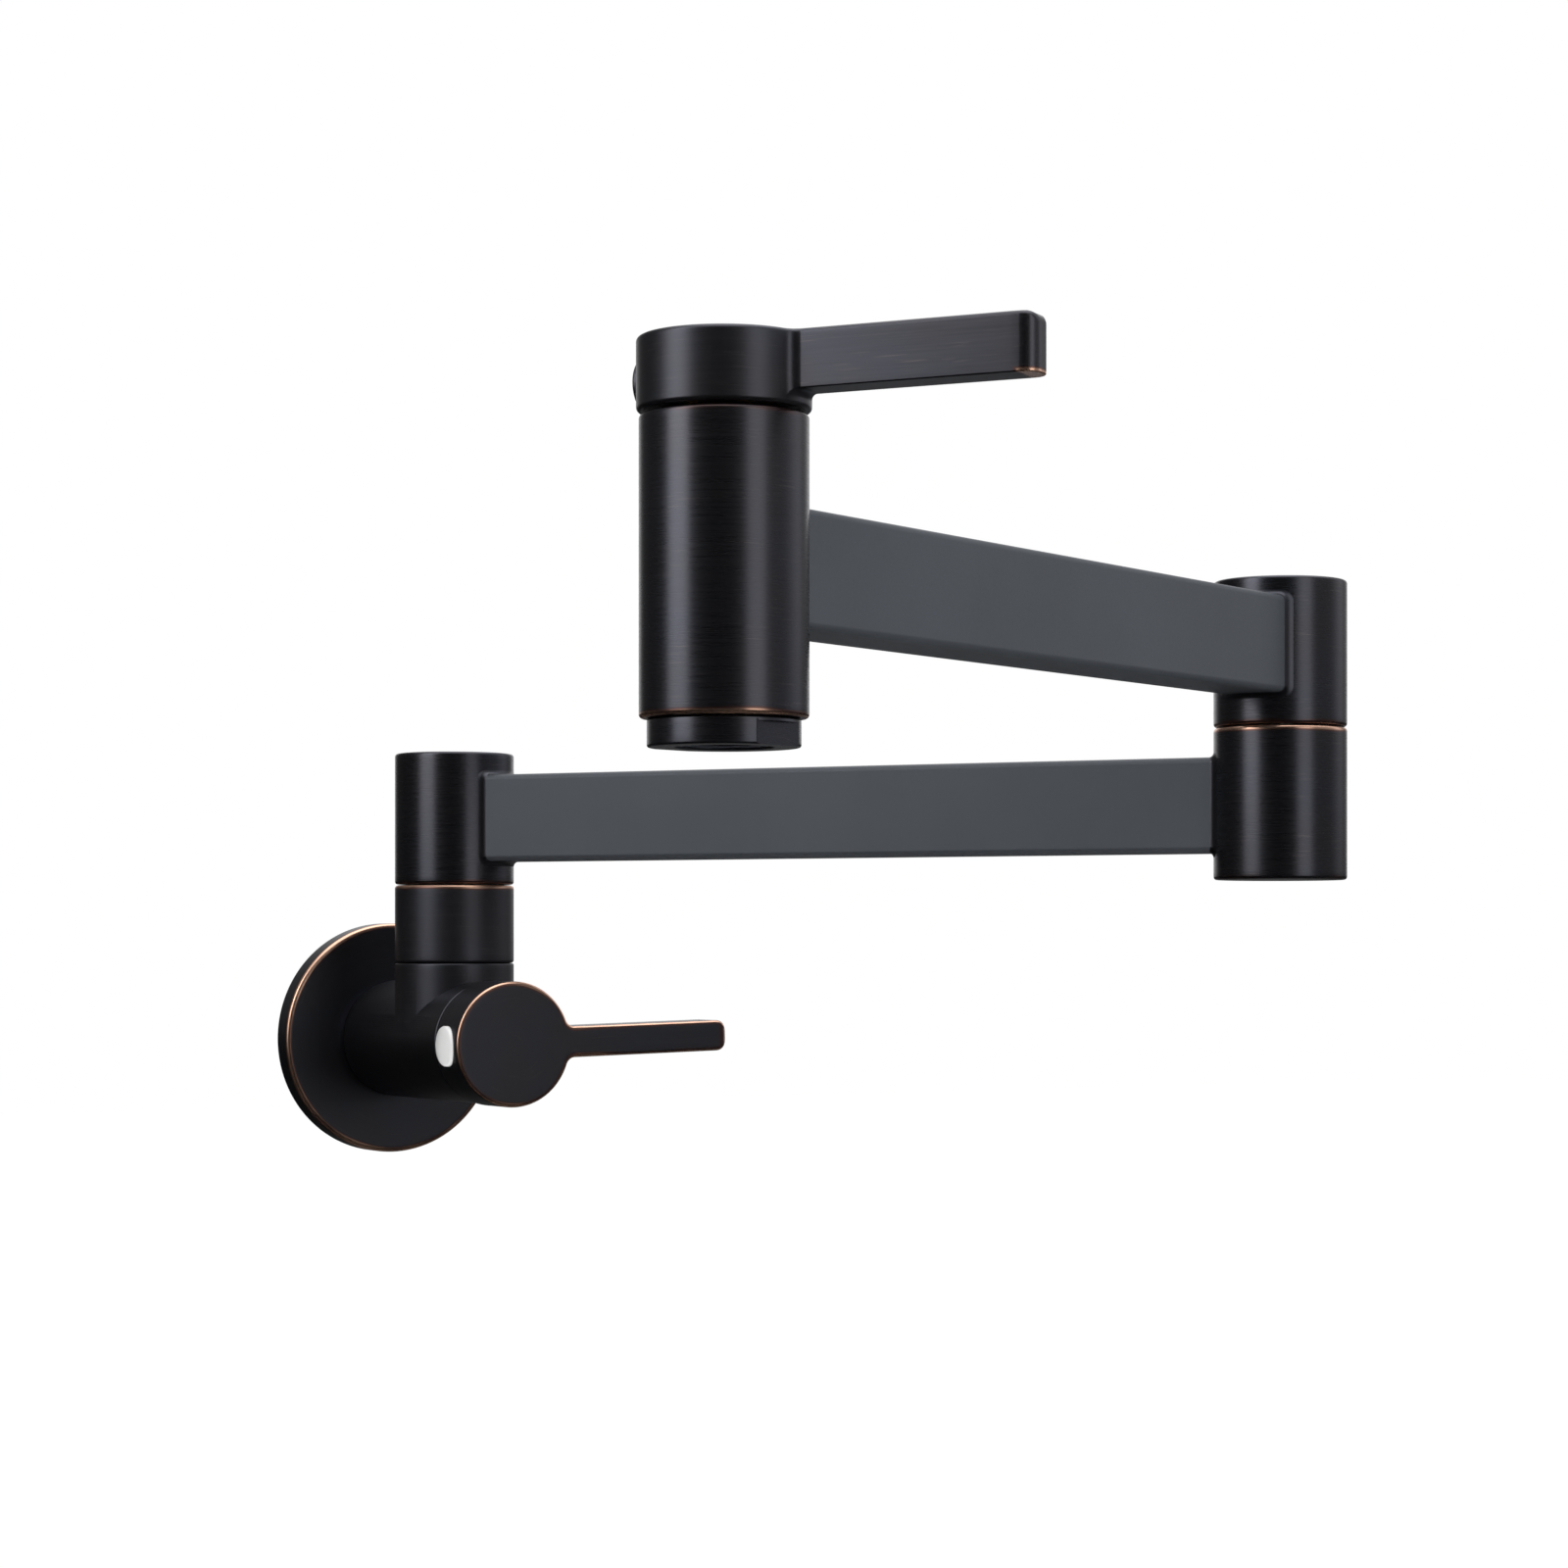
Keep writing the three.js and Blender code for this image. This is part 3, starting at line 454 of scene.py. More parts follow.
def slateBronze(name):
    # the same patina on drawn brass tube that was blasted and not brushed: smooth, even, slate grey
    look = slateLook
    material, tree, shader = newMaterial(name)
    here = objectPlace(tree)
    grain = noise(tree, here, 1 / (look["grain"] * mm), detail=2, roughness=0.6)
    clouds = noise(tree, here, look["clouds"], detail=3, roughness=0.55)
    shade = remap(tree, clouds, *look["span"], 1 - look["contrast"], 1 + look["contrast"])
    colour = scaled(tree, linear(look["patina"])[:3], shade)
    rough = remap(tree, grain, *look["span"], *[look["roughness"] + step for step in look["roughSpread"]])
    dressShader(tree, shader, colour, rough, look["metallic"], grain, look["depth"])
    return material


def plainFinish(name, colour, other, metallic, roughness, grain, spread=0.06, depth=0.01):
    # one soft mottle between two close colours, with a grain of the given size in millimetres
    material, tree, shader = newMaterial(name)
    mottle = noise(tree, objectPlace(tree), 1 / (grain * mm), detail=3, roughness=0.6)
    mixed = mixColours(tree, mottle, linear(colour), linear(other))
    rough = remap(tree, mottle, 0.0, 1.0, roughness - spread, roughness + spread)
    dressShader(tree, shader, mixed, rough, metallic, mottle, depth)
    return material


wallBronze = brushedBronze("wallBrushedBronze", turn=(math.pi / 2, 0, 0), streaks=0.35, duller=0.08)
stubBronze = brushedBronze("stubBrushedBronze", (-columnAxis.x, -columnAxis.y, 0), duller=0.12, streaks=0.7)
columnBronze = brushedBronze("columnBrushedBronze", (-columnAxis.x, -columnAxis.y, 0))
elbowBronze = brushedBronze("elbowBrushedBronze", (-elbowAxis.x, -elbowAxis.y, 0))
spoutBronze = brushedBronze("spoutBrushedBronze", (-spoutAxis.x, -spoutAxis.y, 0))
handleBronze = brushedBronze("handleBrushedBronze", (-spoutAxis.x, -spoutAxis.y, 0), duller=0.08)
wallLeverBronze = brushedBronze("wallLeverBronze", turn=(0, leverLift, 0), streaks=0.6, duller=0.08,
                                turned=False)
spoutLeverBronze = brushedBronze("spoutLeverBronze", turn=(0, 0, -leverHeading), streaks=1.5, duller=0.03,
                                 turned=False)
beadBronze = brushedBronze("beadBronze", streaks=0.0, duller=0.04)  # the same patina, unbrushed
tubeBronze = slateBronze("slateBronzeTube")
# free cutting brass, bright, straw yellow
turnedBrass = plainFinish("turnedBrass", "#b9924f", "#a98242", 1.0, 0.3, 0.8)
# bright zinc on steel, a cool light grey
zincSteel = plainFinish("zincPlatedSteel", "#bfc1c4", "#adb0b4", 1.0, 0.28, 0.7)
# moulded nitrile rubber, matt black
nitrile = plainFinish("nitrileRubber", "#151515", "#1c1c1c", 0.0, 0.62, 0.5)
# closed cell foam, fine pores and no gloss
closedFoam = plainFinish("closedCellFoam", "#3b3b3d", "#2f2f31", 0.0, 0.92, 0.4, 0.04, 0.08)
# vulcanised fibre, pressed, a dull red
vulcanFibre = plainFinish("vulcanisedFibre", "#8d4130", "#7b3627", 0.0, 0.85, 0.6, 0.05, 0.03)
# lapped alumina, nearly a mirror, ivory
lappedCeramic = plainFinish("lappedAlumina", "#f0eee8", "#e7e4dd", 0.0, 0.16, 0.9, 0.03, 0.002)
# turned slip plastic, waxy white
slipPlastic = plainFinish("turnedSlipPlastic", "#e9e7e0", "#dfdcd4", 0.0, 0.5, 0.9)
# moulded acrylic, gloss white, wet looking
whitePlastic = plainFinish("glossWhiteAcrylic", "#fbfbfa", "#f6f6f4", 0.0, 0.14, 3.0, 0.02, 0.002)
# moulded acetal, grey with a soft sheen
greyPlastic = plainFinish("mouldedGreyAcetal", "#9b9ea1", "#8f9295", 0.0, 0.42, 0.6)
print("materials ready")

# What stays a CAD node takes its finish here, by the first of these words in its name
nodeFinishes = {
    "clip": zincSteel, "screw": zincSteel, "spigot": turnedBrass, "inlet_adapter": turnedBrass,
    "cartridge_housing": turnedBrass, "stem": turnedBrass, "o_ring": nitrile, "seal": nitrile,
    "aerator_washer": nitrile, "gasket": closedFoam, "inlet_washer": vulcanFibre, "disc": lappedCeramic,
    "slip_washer": slipPlastic, "thrust_washer": slipPlastic,
}
for name, node in frame["nodes"].items():
    finish = next((material for word, material in nodeFinishes.items() if word in name), None)
    if finish:
        node.data.materials.clear()
        node.data.materials.append(finish)
print("inner pieces finished")

# Flange: a pressed and turned plate whose front rim is rubbed bright
flange = {"radius": 32, "depth": 7, "hole": 14.5, "plate": 2.5, "rim": 3, "chamfer": 1.1, "round": 0.2,
          "rub": 1.6}


def makeFlange(size):
    inside = size["radius"] - size["rim"]
    back = size["depth"] - size["plate"]
    piece = spinOutline("flangePlate", [
        (size["hole"], back), (size["hole"], size["depth"]), (size["radius"], size["depth"]),
        (size["radius"], 0), (inside, 0), (inside, back)], 192)
    roundEdges(piece, atRim(size["radius"], size["depth"]), size["chamfer"], 4)
    roundSharp(piece, size["round"], 2)
    rubRims(piece, [(size["radius"], size["depth"], 1)], reach=size["rub"])
    return finishPiece(piece, outOfWall, "wall_body", ["wall_flange"], "oil_rubbed_bronze", wallBronze)


makeFlange(flange)

gasket = {"inner": 24.2, "outer": 28.7, "depth": 3, "round": 0.4}
piece = spinOutline("foamGasket", [
    (gasket["inner"], 0), (gasket["outer"], 0), (gasket["outer"], gasket["depth"]),
    (gasket["inner"], gasket["depth"])], 128)
roundSharp(piece, gasket["round"], 3)
finishPiece(piece, outOfWall, "wall_body", ["flange_gasket"], "foam_rubber", closedFoam)

# Brass sleeve for the supply nipple, with the grooves of a pipe thread
inlet = {"outer": 12.4, "root": 10.3, "start": 1.5, "length": 19.5, "lip": 1.8, "lipBore": 7,
         "pitch": 1.814, "turns": 8, "crest": 9.3, "halfGroove": 0.45, "mouth": 10.9, "round": 0.1}


def makeInlet(size):
    end = size["start"] + size["length"]
    under = end - size["lip"]
    outline = [(size["outer"], size["start"]), (size["outer"], end), (size["lipBore"], end),
               (size["lipBore"], under), (size["crest"], under)]
    half = size["pitch"] * size["halfGroove"]
    for i in range(size["turns"]):
        level = under - (i + 1) * size["pitch"]
        outline += [(size["crest"], level + half), (size["root"], level), (size["crest"], level - half)]
    outline.append((size["mouth"], size["start"]))
    piece = spinOutline("threadedSleeve", outline, 96, halo=9)
    roundSharp(piece, size["round"], 2, 60)
    return finishPiece(piece, outOfWall, "wall_body", ["inlet_adapter"], "raw_brass", turnedBrass)


makeInlet(inlet)

# Valve body: a lathe-turned barrel with the stub of the column on it
tee = {"radius": 16.2, "front": 69.5, "neck": 14.4, "start": 1.5, "shoulder": 7.3, "shoulderLength": 3.6,
       "stubRadius": 16, "stubTop": 21.1, "rim": 0.5}
teeBores = {"inlet": 12.7, "inletEnd": 21.3, "way": 7.3, "seat": 4.8, "seatDepth": 36.6, "seatThick": 3,
            "cartridge": 10.6, "stubWay": 6, "stubFloor": 12.5, "spigot": 10.3}


def makeTee(size):
    reach = -columnAxis.y / mm
    outline = [(0, size["start"]), (size["neck"], size["start"])]
    for angle in quarter:
        outline.append((size["neck"] + (size["radius"] - size["neck"]) * math.sin(angle),
                        size["shoulder"] + size["shoulderLength"] * (1 - math.cos(angle))))
    outline += [(size["radius"], size["front"]), (0, size["front"])]
    barrel = spinOutline("valveTee", outline, 192, closed=False)
    roundEdges(barrel, atRim(size["radius"], size["front"]), size["rim"])
    stub = spinDisc("stub", size["stubRadius"], 0, size["stubTop"], 192)
    roundEdges(stub, atRim(size["stubRadius"], size["stubTop"]), size["rim"])
    upright = Matrix.Translation((0, 0, reach * mm)) @ Matrix.Rotation(-math.pi / 2, 4, "X")
    cutWith(barrel, turnPiece(stub, upright), "UNION")
    bore = teeBores
    seatTop = size["front"] - bore["seatDepth"]
    seatUnder = seatTop - bore["seatThick"]
    beyond, above = size["front"] + 1, size["stubTop"] + 2
    for tool in (
        spinOutline("bore", [
            (0, 1), (bore["inlet"], 1), (bore["inlet"], bore["inletEnd"]), (bore["way"], bore["inletEnd"]),
            (bore["way"], seatUnder), (bore["seat"], seatUnder), (bore["seat"], seatTop),
            (bore["cartridge"], seatTop), (bore["cartridge"], beyond), (0, beyond)], 96, closed=False),
        turnPiece(spinOutline("bore", [
            (0, 1), (bore["stubWay"], 1), (bore["stubWay"], bore["stubFloor"]),
            (bore["spigot"], bore["stubFloor"]), (bore["spigot"], above), (0, above)], 96, closed=False),
            upright),
    ):
        cutWith(barrel, tool)
    axis = Vector((0, 0, reach))
    # the stub was turned about the column, so it has the other finish
    for face in barrel.data.polygons:
        middle = face.center / mm - axis
        across = math.hypot(middle.x, middle.z)
        onStub = abs(across - size["stubRadius"]) < 0.2 and abs(face.normal.y) < 0.5
        if middle.y > 3 and (onStub or middle.y > size["stubTop"] - 0.6):
            face.material_index = 1
    return finishPiece(barrel, outOfWall, "wall_body", ["valve_body"], "oil_rubbed_bronze", wallBronze,
                       stubBronze)


makeTee(tee)

# Hubs, sleeve, caps and plug: all turned, rims rubbed where two of them meet
hubRadius = 16
rim = {"width": 0.8, "inner": 0.2, "lid": 0.35}
bores = {"counter": 13.3, "capSeat": 3, "recess": 11.5, "headRoom": 4.8, "pin": 8.3, "way": 10.6,
         "wayStart": 9, "wayReach": 3, "spigot": 10.3}


def makeTurned(name, outline, sides=160):
    # turned from the bar, its outer corners rounded wider than the inner ones
    piece = spinOutline(name, outline, sides)
    outer = max(r for r, z in outline)
    levels = [z for r, z in outline if r > outer - near]
    outerRims = lambda a, b: (min(a.xy.length, b.xy.length) > outer - near and abs(a.z - b.z) < near
                              and min(abs(a.z - z) for z in levels) < near)
    roundEdges(piece, outerRims, rim["width"], 4)
    roundSharp(piece, rim["inner"], 2)
    return piece


# a closed seam below, a quarter millimetre of play above
collar = {"bottom": -0.25, "top": 20.65, "floor": 16.3}
sleeve = makeTurned("columnCollar", [
    (bores["spigot"], collar["bottom"]), (hubRadius, collar["bottom"]), (hubRadius, collar["top"]),
    (bores["counter"], collar["top"]), (bores["counter"], collar["floor"]),
    (bores["spigot"], collar["floor"])])
rubRims(sleeve, [(hubRadius, collar["top"], 1)])
finishPiece(sleeve, sleeveSeat, "wall_body", ["column_sleeve"], "oil_rubbed_bronze", stubBronze)

tube = {"width": 17, "height": 23, "corner": 1.4, "wall": 1.6, "start": 12, "play": 0.05, "fillet": 1.4,
        "sunk": 0.8, "lap": 0.02, "flatSteps": 28, "endPlay": 0.3, "wayStart": 8.6, "wayWidth": 9,
        "wayHeight": 6}


def tubeOutline(size, grow=0.0):
    # rounded rectangle across the tube, (y, z) about its middle, its points close enough for a round hub
    across, up, corner = size["width"] / 2, size["height"] / 2, size["corner"]
    steps = size["flatSteps"]
    points = []
    for i, (signY, signZ) in enumerate(((1, 1), (-1, 1), (-1, -1), (1, -1))):
        for j in range(9):
            angle = (i + j / 8) * math.pi / 2
            points.append((signY * (across - corner) + (corner + grow) * math.cos(angle),
                           signZ * (up - corner) + (corner + grow) * math.sin(angle)))
        if i % 2 == 0:  # along the top and the bottom
            startY, level = points[-1]
            points += [(startY * (1 - 2 * j / steps), level) for j in range(1, steps)]
    return points


def makeBead(level, size, turn):
    # the braze fillet round the foot of a tube: a closed ring, hollow outside, seated on hub and tube
    fillet, sunk, lap = size["fillet"], size["sunk"], size["lap"]
    profile = [(fillet, -sunk), (fillet, -lap)]
    for angle in quarter[1:8]:
        profile.append((fillet * (1 - math.sin(angle)), fillet * (1 - math.cos(angle))))
    profile += [(-lap, fillet), (-sunk, fillet), (-sunk, -sunk)]
    outline = tubeOutline(size)
    bead = tracePath("bead", [(0, y, z) for y, z in outline + outline[:1]])
    for _ in profile[1:]:
        bpy.ops.mesh.extrude_edges_move(TRANSFORM_OT_translate={"value": (mm, 0, 0)})
    ends = (0, len(profile) - 1)
    chooseEdges(bead, lambda a, b: round(a.x) == round(b.x) and round(a.x) in ends)
    bpy.ops.mesh.bridge_edge_loops()
    setMode("OBJECT")
    for vertex in bead.data.vertices:
        away, beyond = profile[round(vertex.co.x / mm)]
        y, z = vertex.co.y / mm, vertex.co.z / mm
        limitY, limitZ = size["width"] / 2 - size["corner"], size["height"] / 2 - size["corner"]
        out = Vector((y - max(-limitY, min(limitY, y)), z - max(-limitZ, min(limitZ, z)))).normalized()
        y, z = y + out.x * away, z + out.y * away
        vertex.co = Vector((math.sqrt(hubRadius ** 2 - y ** 2) + beyond, y, z + level)) * mm
    setMode("EDIT")
    faceOutward()
    return turnPiece(bead, turn)


def cutSocket(piece, level, size, finish, direction=1):
    # the tube's pocket and the water way behind it, then the bead round its mouth
    turn = Matrix.Rotation(0 if direction > 0 else math.pi, 4, "Z")
    pocket = pullOutline("pocket", tubeOutline(size, size["play"]), size["start"], hubRadius + 6)
    cutWith(piece, turnPiece(pocket, turn @ Matrix.Translation((0, 0, level * mm)) @ alongArm))
    halfWidth, halfHeight = size["wayWidth"] / 2, size["wayHeight"] / 2
    way = addBlock((size["wayStart"], -halfWidth, level - halfHeight),
                   (size["start"] + 1, halfWidth, level + halfHeight))
    cutWith(piece, turnPiece(way, turn))
    piece.data.materials.append(finish)
    bead = makeBead(level, size, turn)
    bead.data.materials.append(beadBronze)
    pick(bead)
    piece.select_set(True)
    bpy.context.view_layer.objects.active = piece
    bpy.ops.object.join()
    return piece


def hubOutline(height, level):
    # bored for the pin, with the water way round it and room for the screw head under the cap
    counter, recess, pin, way = (bores[name] for name in ("counter", "recess", "pin", "way"))
    ceiling = height - bores["capSeat"]
    shoulder = ceiling - bores["headRoom"]
    wayTop = level + bores["wayReach"]
    return [(counter, 0), (hubRadius, 0), (hubRadius, height), (counter, height), (counter, ceiling),
            (recess, ceiling), (recess, shoulder), (pin, shoulder), (pin, wayTop), (way, wayTop),
            (way, bores["wayStart"]), (pin, bores["wayStart"]), (pin, 1), (counter, 1)]


turningHub = {"height": 35.2, "armRise": 17.6, "elbowRise": 18.9, "capRadius": 13.25, "capThickness": 2.7}
lowerHub = {"height": 36.3, "top": 36.65, "counterDepth": 4, "plug": 3.4, "plugSeat": 3.7,
            "plugRadius": 13.25}

for name, node, capNode, body, level, place, finish in (
    ("armHub", "arm_1_hub", "arm_1_hub_cap", "arm_1", turningHub["armRise"], armSeat, columnBronze),
    ("elbowUpper", "elbow_upper_hub", "elbow_hub_cap", "arm_2", turningHub["elbowRise"], upperHubSeat,
     elbowBronze),
):
    height = turningHub["height"]
    hub = makeTurned(name, hubOutline(height, level))
    cutSocket(hub, level, tube, finish)
    # the lower rim gets only part of the rubbing, so it shows brown more than copper: partly wear, partly
    # painted shade on a rim that faces down
    rubRims(hub, [(hubRadius, 0, 0.6)])
    finishPiece(hub, place, body, [node], "oil_rubbed_bronze")
    cap = spinDisc(name + "Cap", turningHub["capRadius"], height - turningHub["capThickness"], height)
    roundSharp(cap, rim["lid"], 3)
    finishPiece(cap, place, body, [capNode], "oil_rubbed_bronze", finish)

# the lower half of the elbow; its top leaves a quarter millimetre of play
middle = lowerHub["height"] / 2
top = lowerHub["top"]
counterFloor = lowerHub["height"] - lowerHub["counterDepth"]
wayTop = middle + bores["wayReach"]
hub = makeTurned("elbowLower", [
    (bores["counter"], 0), (hubRadius, 0), (hubRadius, top), (bores["counter"], top),
    (bores["counter"], counterFloor), (bores["spigot"], counterFloor), (bores["spigot"], wayTop),
    (bores["way"], wayTop), (bores["way"], lowerHub["plugSeat"]), (bores["counter"], lowerHub["plugSeat"])])
cutSocket(hub, middle, tube, elbowBronze, -1)
# the top rim is rubbed to copper; the bottom rim, facing down, gets less and shows brown: partly wear, partly
# painted shade
rubRims(hub, [(hubRadius, top, 1), (hubRadius, 0, 0.45)])
finishPiece(hub, lowerHubSeat, "arm_1", ["elbow_lower_hub"], "oil_rubbed_bronze")
plug = spinDisc("elbowPlug", lowerHub["plugRadius"], 0, lowerHub["plug"])
roundSharp(plug, rim["lid"], 3)
finishPiece(plug, lowerHubSeat, "arm_1", ["elbow_bottom_plug"], "oil_rubbed_bronze", elbowBronze)


def makeTube(name, place, body, node):
    side, half = tube["width"] / 2, tube["height"] / 2
    inset = tube["start"] + tube["endPlay"]
    piece = addBlock((inset, -side, -half), (armLength - inset, side, half))
    piece.name = piece.data.name = name
    chooseFaces(piece, lambda centre, normal: abs(normal.x) > 0.9)
    bpy.ops.mesh.inset(thickness=tube["wall"] * mm)
    bpy.ops.mesh.bridge_edge_loops()
    setMode("OBJECT")
    longEdges = lambda a, b: abs(a.x - b.x) > 1 and abs(abs(a.y) - side) < near
    roundEdges(piece, longEdges, tube["corner"], 6)
    return finishPiece(piece, place, body, [node], "slate_bronze", tubeBronze)


lowerArmSeat = armSeat @ Matrix.Translation((0, 0, turningHub["armRise"] * mm))
upperArmSeat = upperHubSeat @ Matrix.Translation((0, 0, turningHub["elbowRise"] * mm))
makeTube("lowerArm", lowerArmSeat, "arm_1", "arm_1_tube")
makeTube("upperArm", upperArmSeat, "arm_2", "arm_2_tube")

# Spout: a long turned body with the aerator screwed in from below
spout = {"height": 56.8, "tubeLevel": 29.1, "mouth": 11.9, "mouthEnd": 10.5, "outlet": 8, "seat": 4.8,
         "seatUnder": 17.2, "seatTop": 20.2, "cartridge": 10.6}
height = spout["height"]
body = makeTurned("spoutBarrel", [
    (spout["mouth"], 0), (hubRadius, 0), (hubRadius, height), (spout["cartridge"], height),
    (spout["cartridge"], spout["seatTop"]), (spout["seat"], spout["seatTop"]),
    (spout["seat"], spout["seatUnder"]), (spout["outlet"], spout["seatUnder"]),
    (spout["outlet"], spout["mouthEnd"]), (spout["mouth"], spout["mouthEnd"])], sides=192)
cutSocket(body, spout["tubeLevel"], tube, spoutBronze, -1)
rubRims(body, [(hubRadius, 0, 1), (hubRadius, height, 0.4)])
finishPiece(body, spoutSeat, "arm_2", ["spout_body"], "oil_rubbed_bronze")

aerator = {"radius": 14.5, "height": 5.1, "thread": 11.6, "threadLength": 7.9, "bore": 10.3, "lip": 9.4,
           "lipDepth": 1, "flatWidth": 11.6, "flatHeight": 4.4, "gap": 0.3, "top": -0.1, "round": 0.45}


def makeAerator(size):
    bottom = -size["gap"] - size["height"]
    ring = spinOutline("aeratorRing", [
        (size["lip"], bottom), (size["radius"], bottom), (size["radius"], size["top"]),
        (size["thread"], size["top"]), (size["thread"], size["threadLength"]),
        (size["bore"], size["threadLength"]), (size["bore"], bottom + size["lipDepth"]),
        (size["lip"], bottom + size["lipDepth"])])
    roundSharp(ring, size["round"], 3)
    away = math.sqrt(size["radius"] ** 2 - (size["flatWidth"] / 2) ** 2)
    for side in (1, -1):
        low, high = sorted((side * away, side * (size["radius"] + 2)))
        flat = addBlock((low, -size["flatWidth"] / 2 - 1, bottom - 1),
                        (high, size["flatWidth"] / 2 + 1, bottom + size["flatHeight"]))
        cutWith(ring, flat)
    return finishPiece(ring, aeratorSeat, "arm_2", ["aerator_housing"], "oil_rubbed_bronze", spoutBronze)


makeAerator(aerator)

insert = {"radius": 10, "start": -4.1, "height": 10, "cell": 1.3, "pitch": 3.1, "web": 0.6, "reach": 3,
          "round": 0.12}


def makeInsert(size):
    start, reach = size["start"], size["reach"]
    disc = addRod(size["radius"], start, start + size["height"], 128)
    disc.name = disc.data.name = "aeratorHoneycomb"
    cells = []
    for row in range(-reach, reach + 1):
        for place in range(-reach, reach + 1):
            x = size["pitch"] * (place + row / 2)
            y = size["pitch"] * row * math.sqrt(3) / 2
            if math.hypot(x, y) + size["cell"] + size["web"] < size["radius"]:
                cell = addRod(size["cell"], start - 1, start + size["height"] + 1, 6)
                cells.append(turnPiece(cell, Matrix.Translation((x * mm, y * mm, 0))))
    dropSelection()
    for cell in cells:
        cell.select_set(True)
    bpy.context.view_layer.objects.active = cells[0]
    bpy.ops.object.join()
    cutWith(disc, bpy.context.object)
    roundSharp(disc, size["round"], 2)
    return finishPiece(disc, aeratorSeat, "arm_2", ["aerator_insert"], "grey_plastic", greyPlastic)


makeInsert(insert)

# Handles: a turned cap with a flat lever, hollow behind, and the button over the grub screw
handle = {"radius": 16.5, "height": 14, "roof": 3, "wall": 2.9, "hub": 6.6, "hubStart": 4.3, "bore": 4.2,
          "sides": 192, "rootSides": 22, "rootRows": 12, "lever": 64, "leverWidth": 8.2, "leverHeight": 11.1,
          "tip": 3.2, "nose": 2.2, "frontRound": 0.9, "rearRound": 0.3, "hubPlay": 0.4, "leverSeam": 0.8,
          "rubDepth": 0.9, "frontRub": 1.2, "tipRub": 5, "tipRubHeight": 1.4, "tipFade": (2, 0.8)}
button = {"level": 6.2, "radius": 5.3, "sink": 1.9, "lift": 0.3, "proud": 0.2, "crown": 0.9, "round": 0.8,
          "gap": 0.12}


def leverRows(size):
    # for each step out along the lever: x in the middle, x at the edges, half the width
    radius, half, tip, count = size["radius"], size["leverWidth"] / 2, size["tip"], size["rootRows"]
    touch = math.pi * size["rootSides"] / size["sides"]
    fillet = (radius * math.sin(touch) - half) / (1 - math.sin(touch))  # runs smoothly into rim and lever
    middleX = (radius + fillet) * math.cos(touch)
    rows = []
    for i in range(1, count + 1):
        angle = math.pi + touch + (math.pi / 2 - touch) * i / count
        rows.append((radius + (middleX - radius) * (1 - math.cos(i / count * math.pi / 2)),
                     middleX + fillet * math.cos(angle), half + fillet + fillet * math.sin(angle)))
    for angle in quarter:
        x = size["lever"] - tip + tip * math.sin(angle)
        rows.append((x, x, half - tip + tip * math.cos(angle)))
    return rows


def pullLever(piece, size):
    # pulls the faces of the lever's root out in steps, then sets each step to its row
    radius, height, rows = size["radius"], size["height"], leverRows(size)
    touch = math.pi * size["rootSides"] / size["sides"]
    under, hollow = height - size["leverHeight"], rows[size["rootRows"] - 1][0] - radius
    chooseFaces(piece, lambda centre, normal: centre.x > 0 and abs(normal.z) < 0.5 and centre.z > under
                and abs(centre.y) < radius * math.sin(touch))
    step, nose = 3, size["nose"]
    for _ in rows:
        pullFaces(step, 0, 0)
    setMode("OBJECT")
    for vertex in piece.data.vertices:
        x, y, z = vertex.co / mm
        angle = math.asin(max(-1, min(1, y / radius)))
        count = round((x - radius * math.cos(angle)) / step)
        if count > 0:
            middle, edge, half = rows[count - 1]
            share = (math.cos(angle) - math.cos(touch)) / (1 - math.cos(touch))
            x, y = edge + (middle - edge) * share, half * math.sin(angle) / math.sin(touch)
            if z > height - 1:
                ahead = max(0, x - size["lever"] + nose)
                z = height - nose + math.sqrt(nose ** 2 - ahead ** 2)  # the front rounded down at the tip
            else:
                out = max(0, min(hollow, math.hypot(x, y) - radius))
                z = under - hollow + math.sqrt(hollow ** 2 - (hollow - out) ** 2)
            vertex.co = Vector((x, y, z)) * mm
    setMode("EDIT")
    takeAll()
    bpy.ops.mesh.dissolve_limited(angle_limit=math.radians(0.5))
    faceOutward()


sideways = Matrix.Translation((0, 0, button["level"] * mm)) @ Matrix.Rotation(-math.pi / 2, 4, "Y")


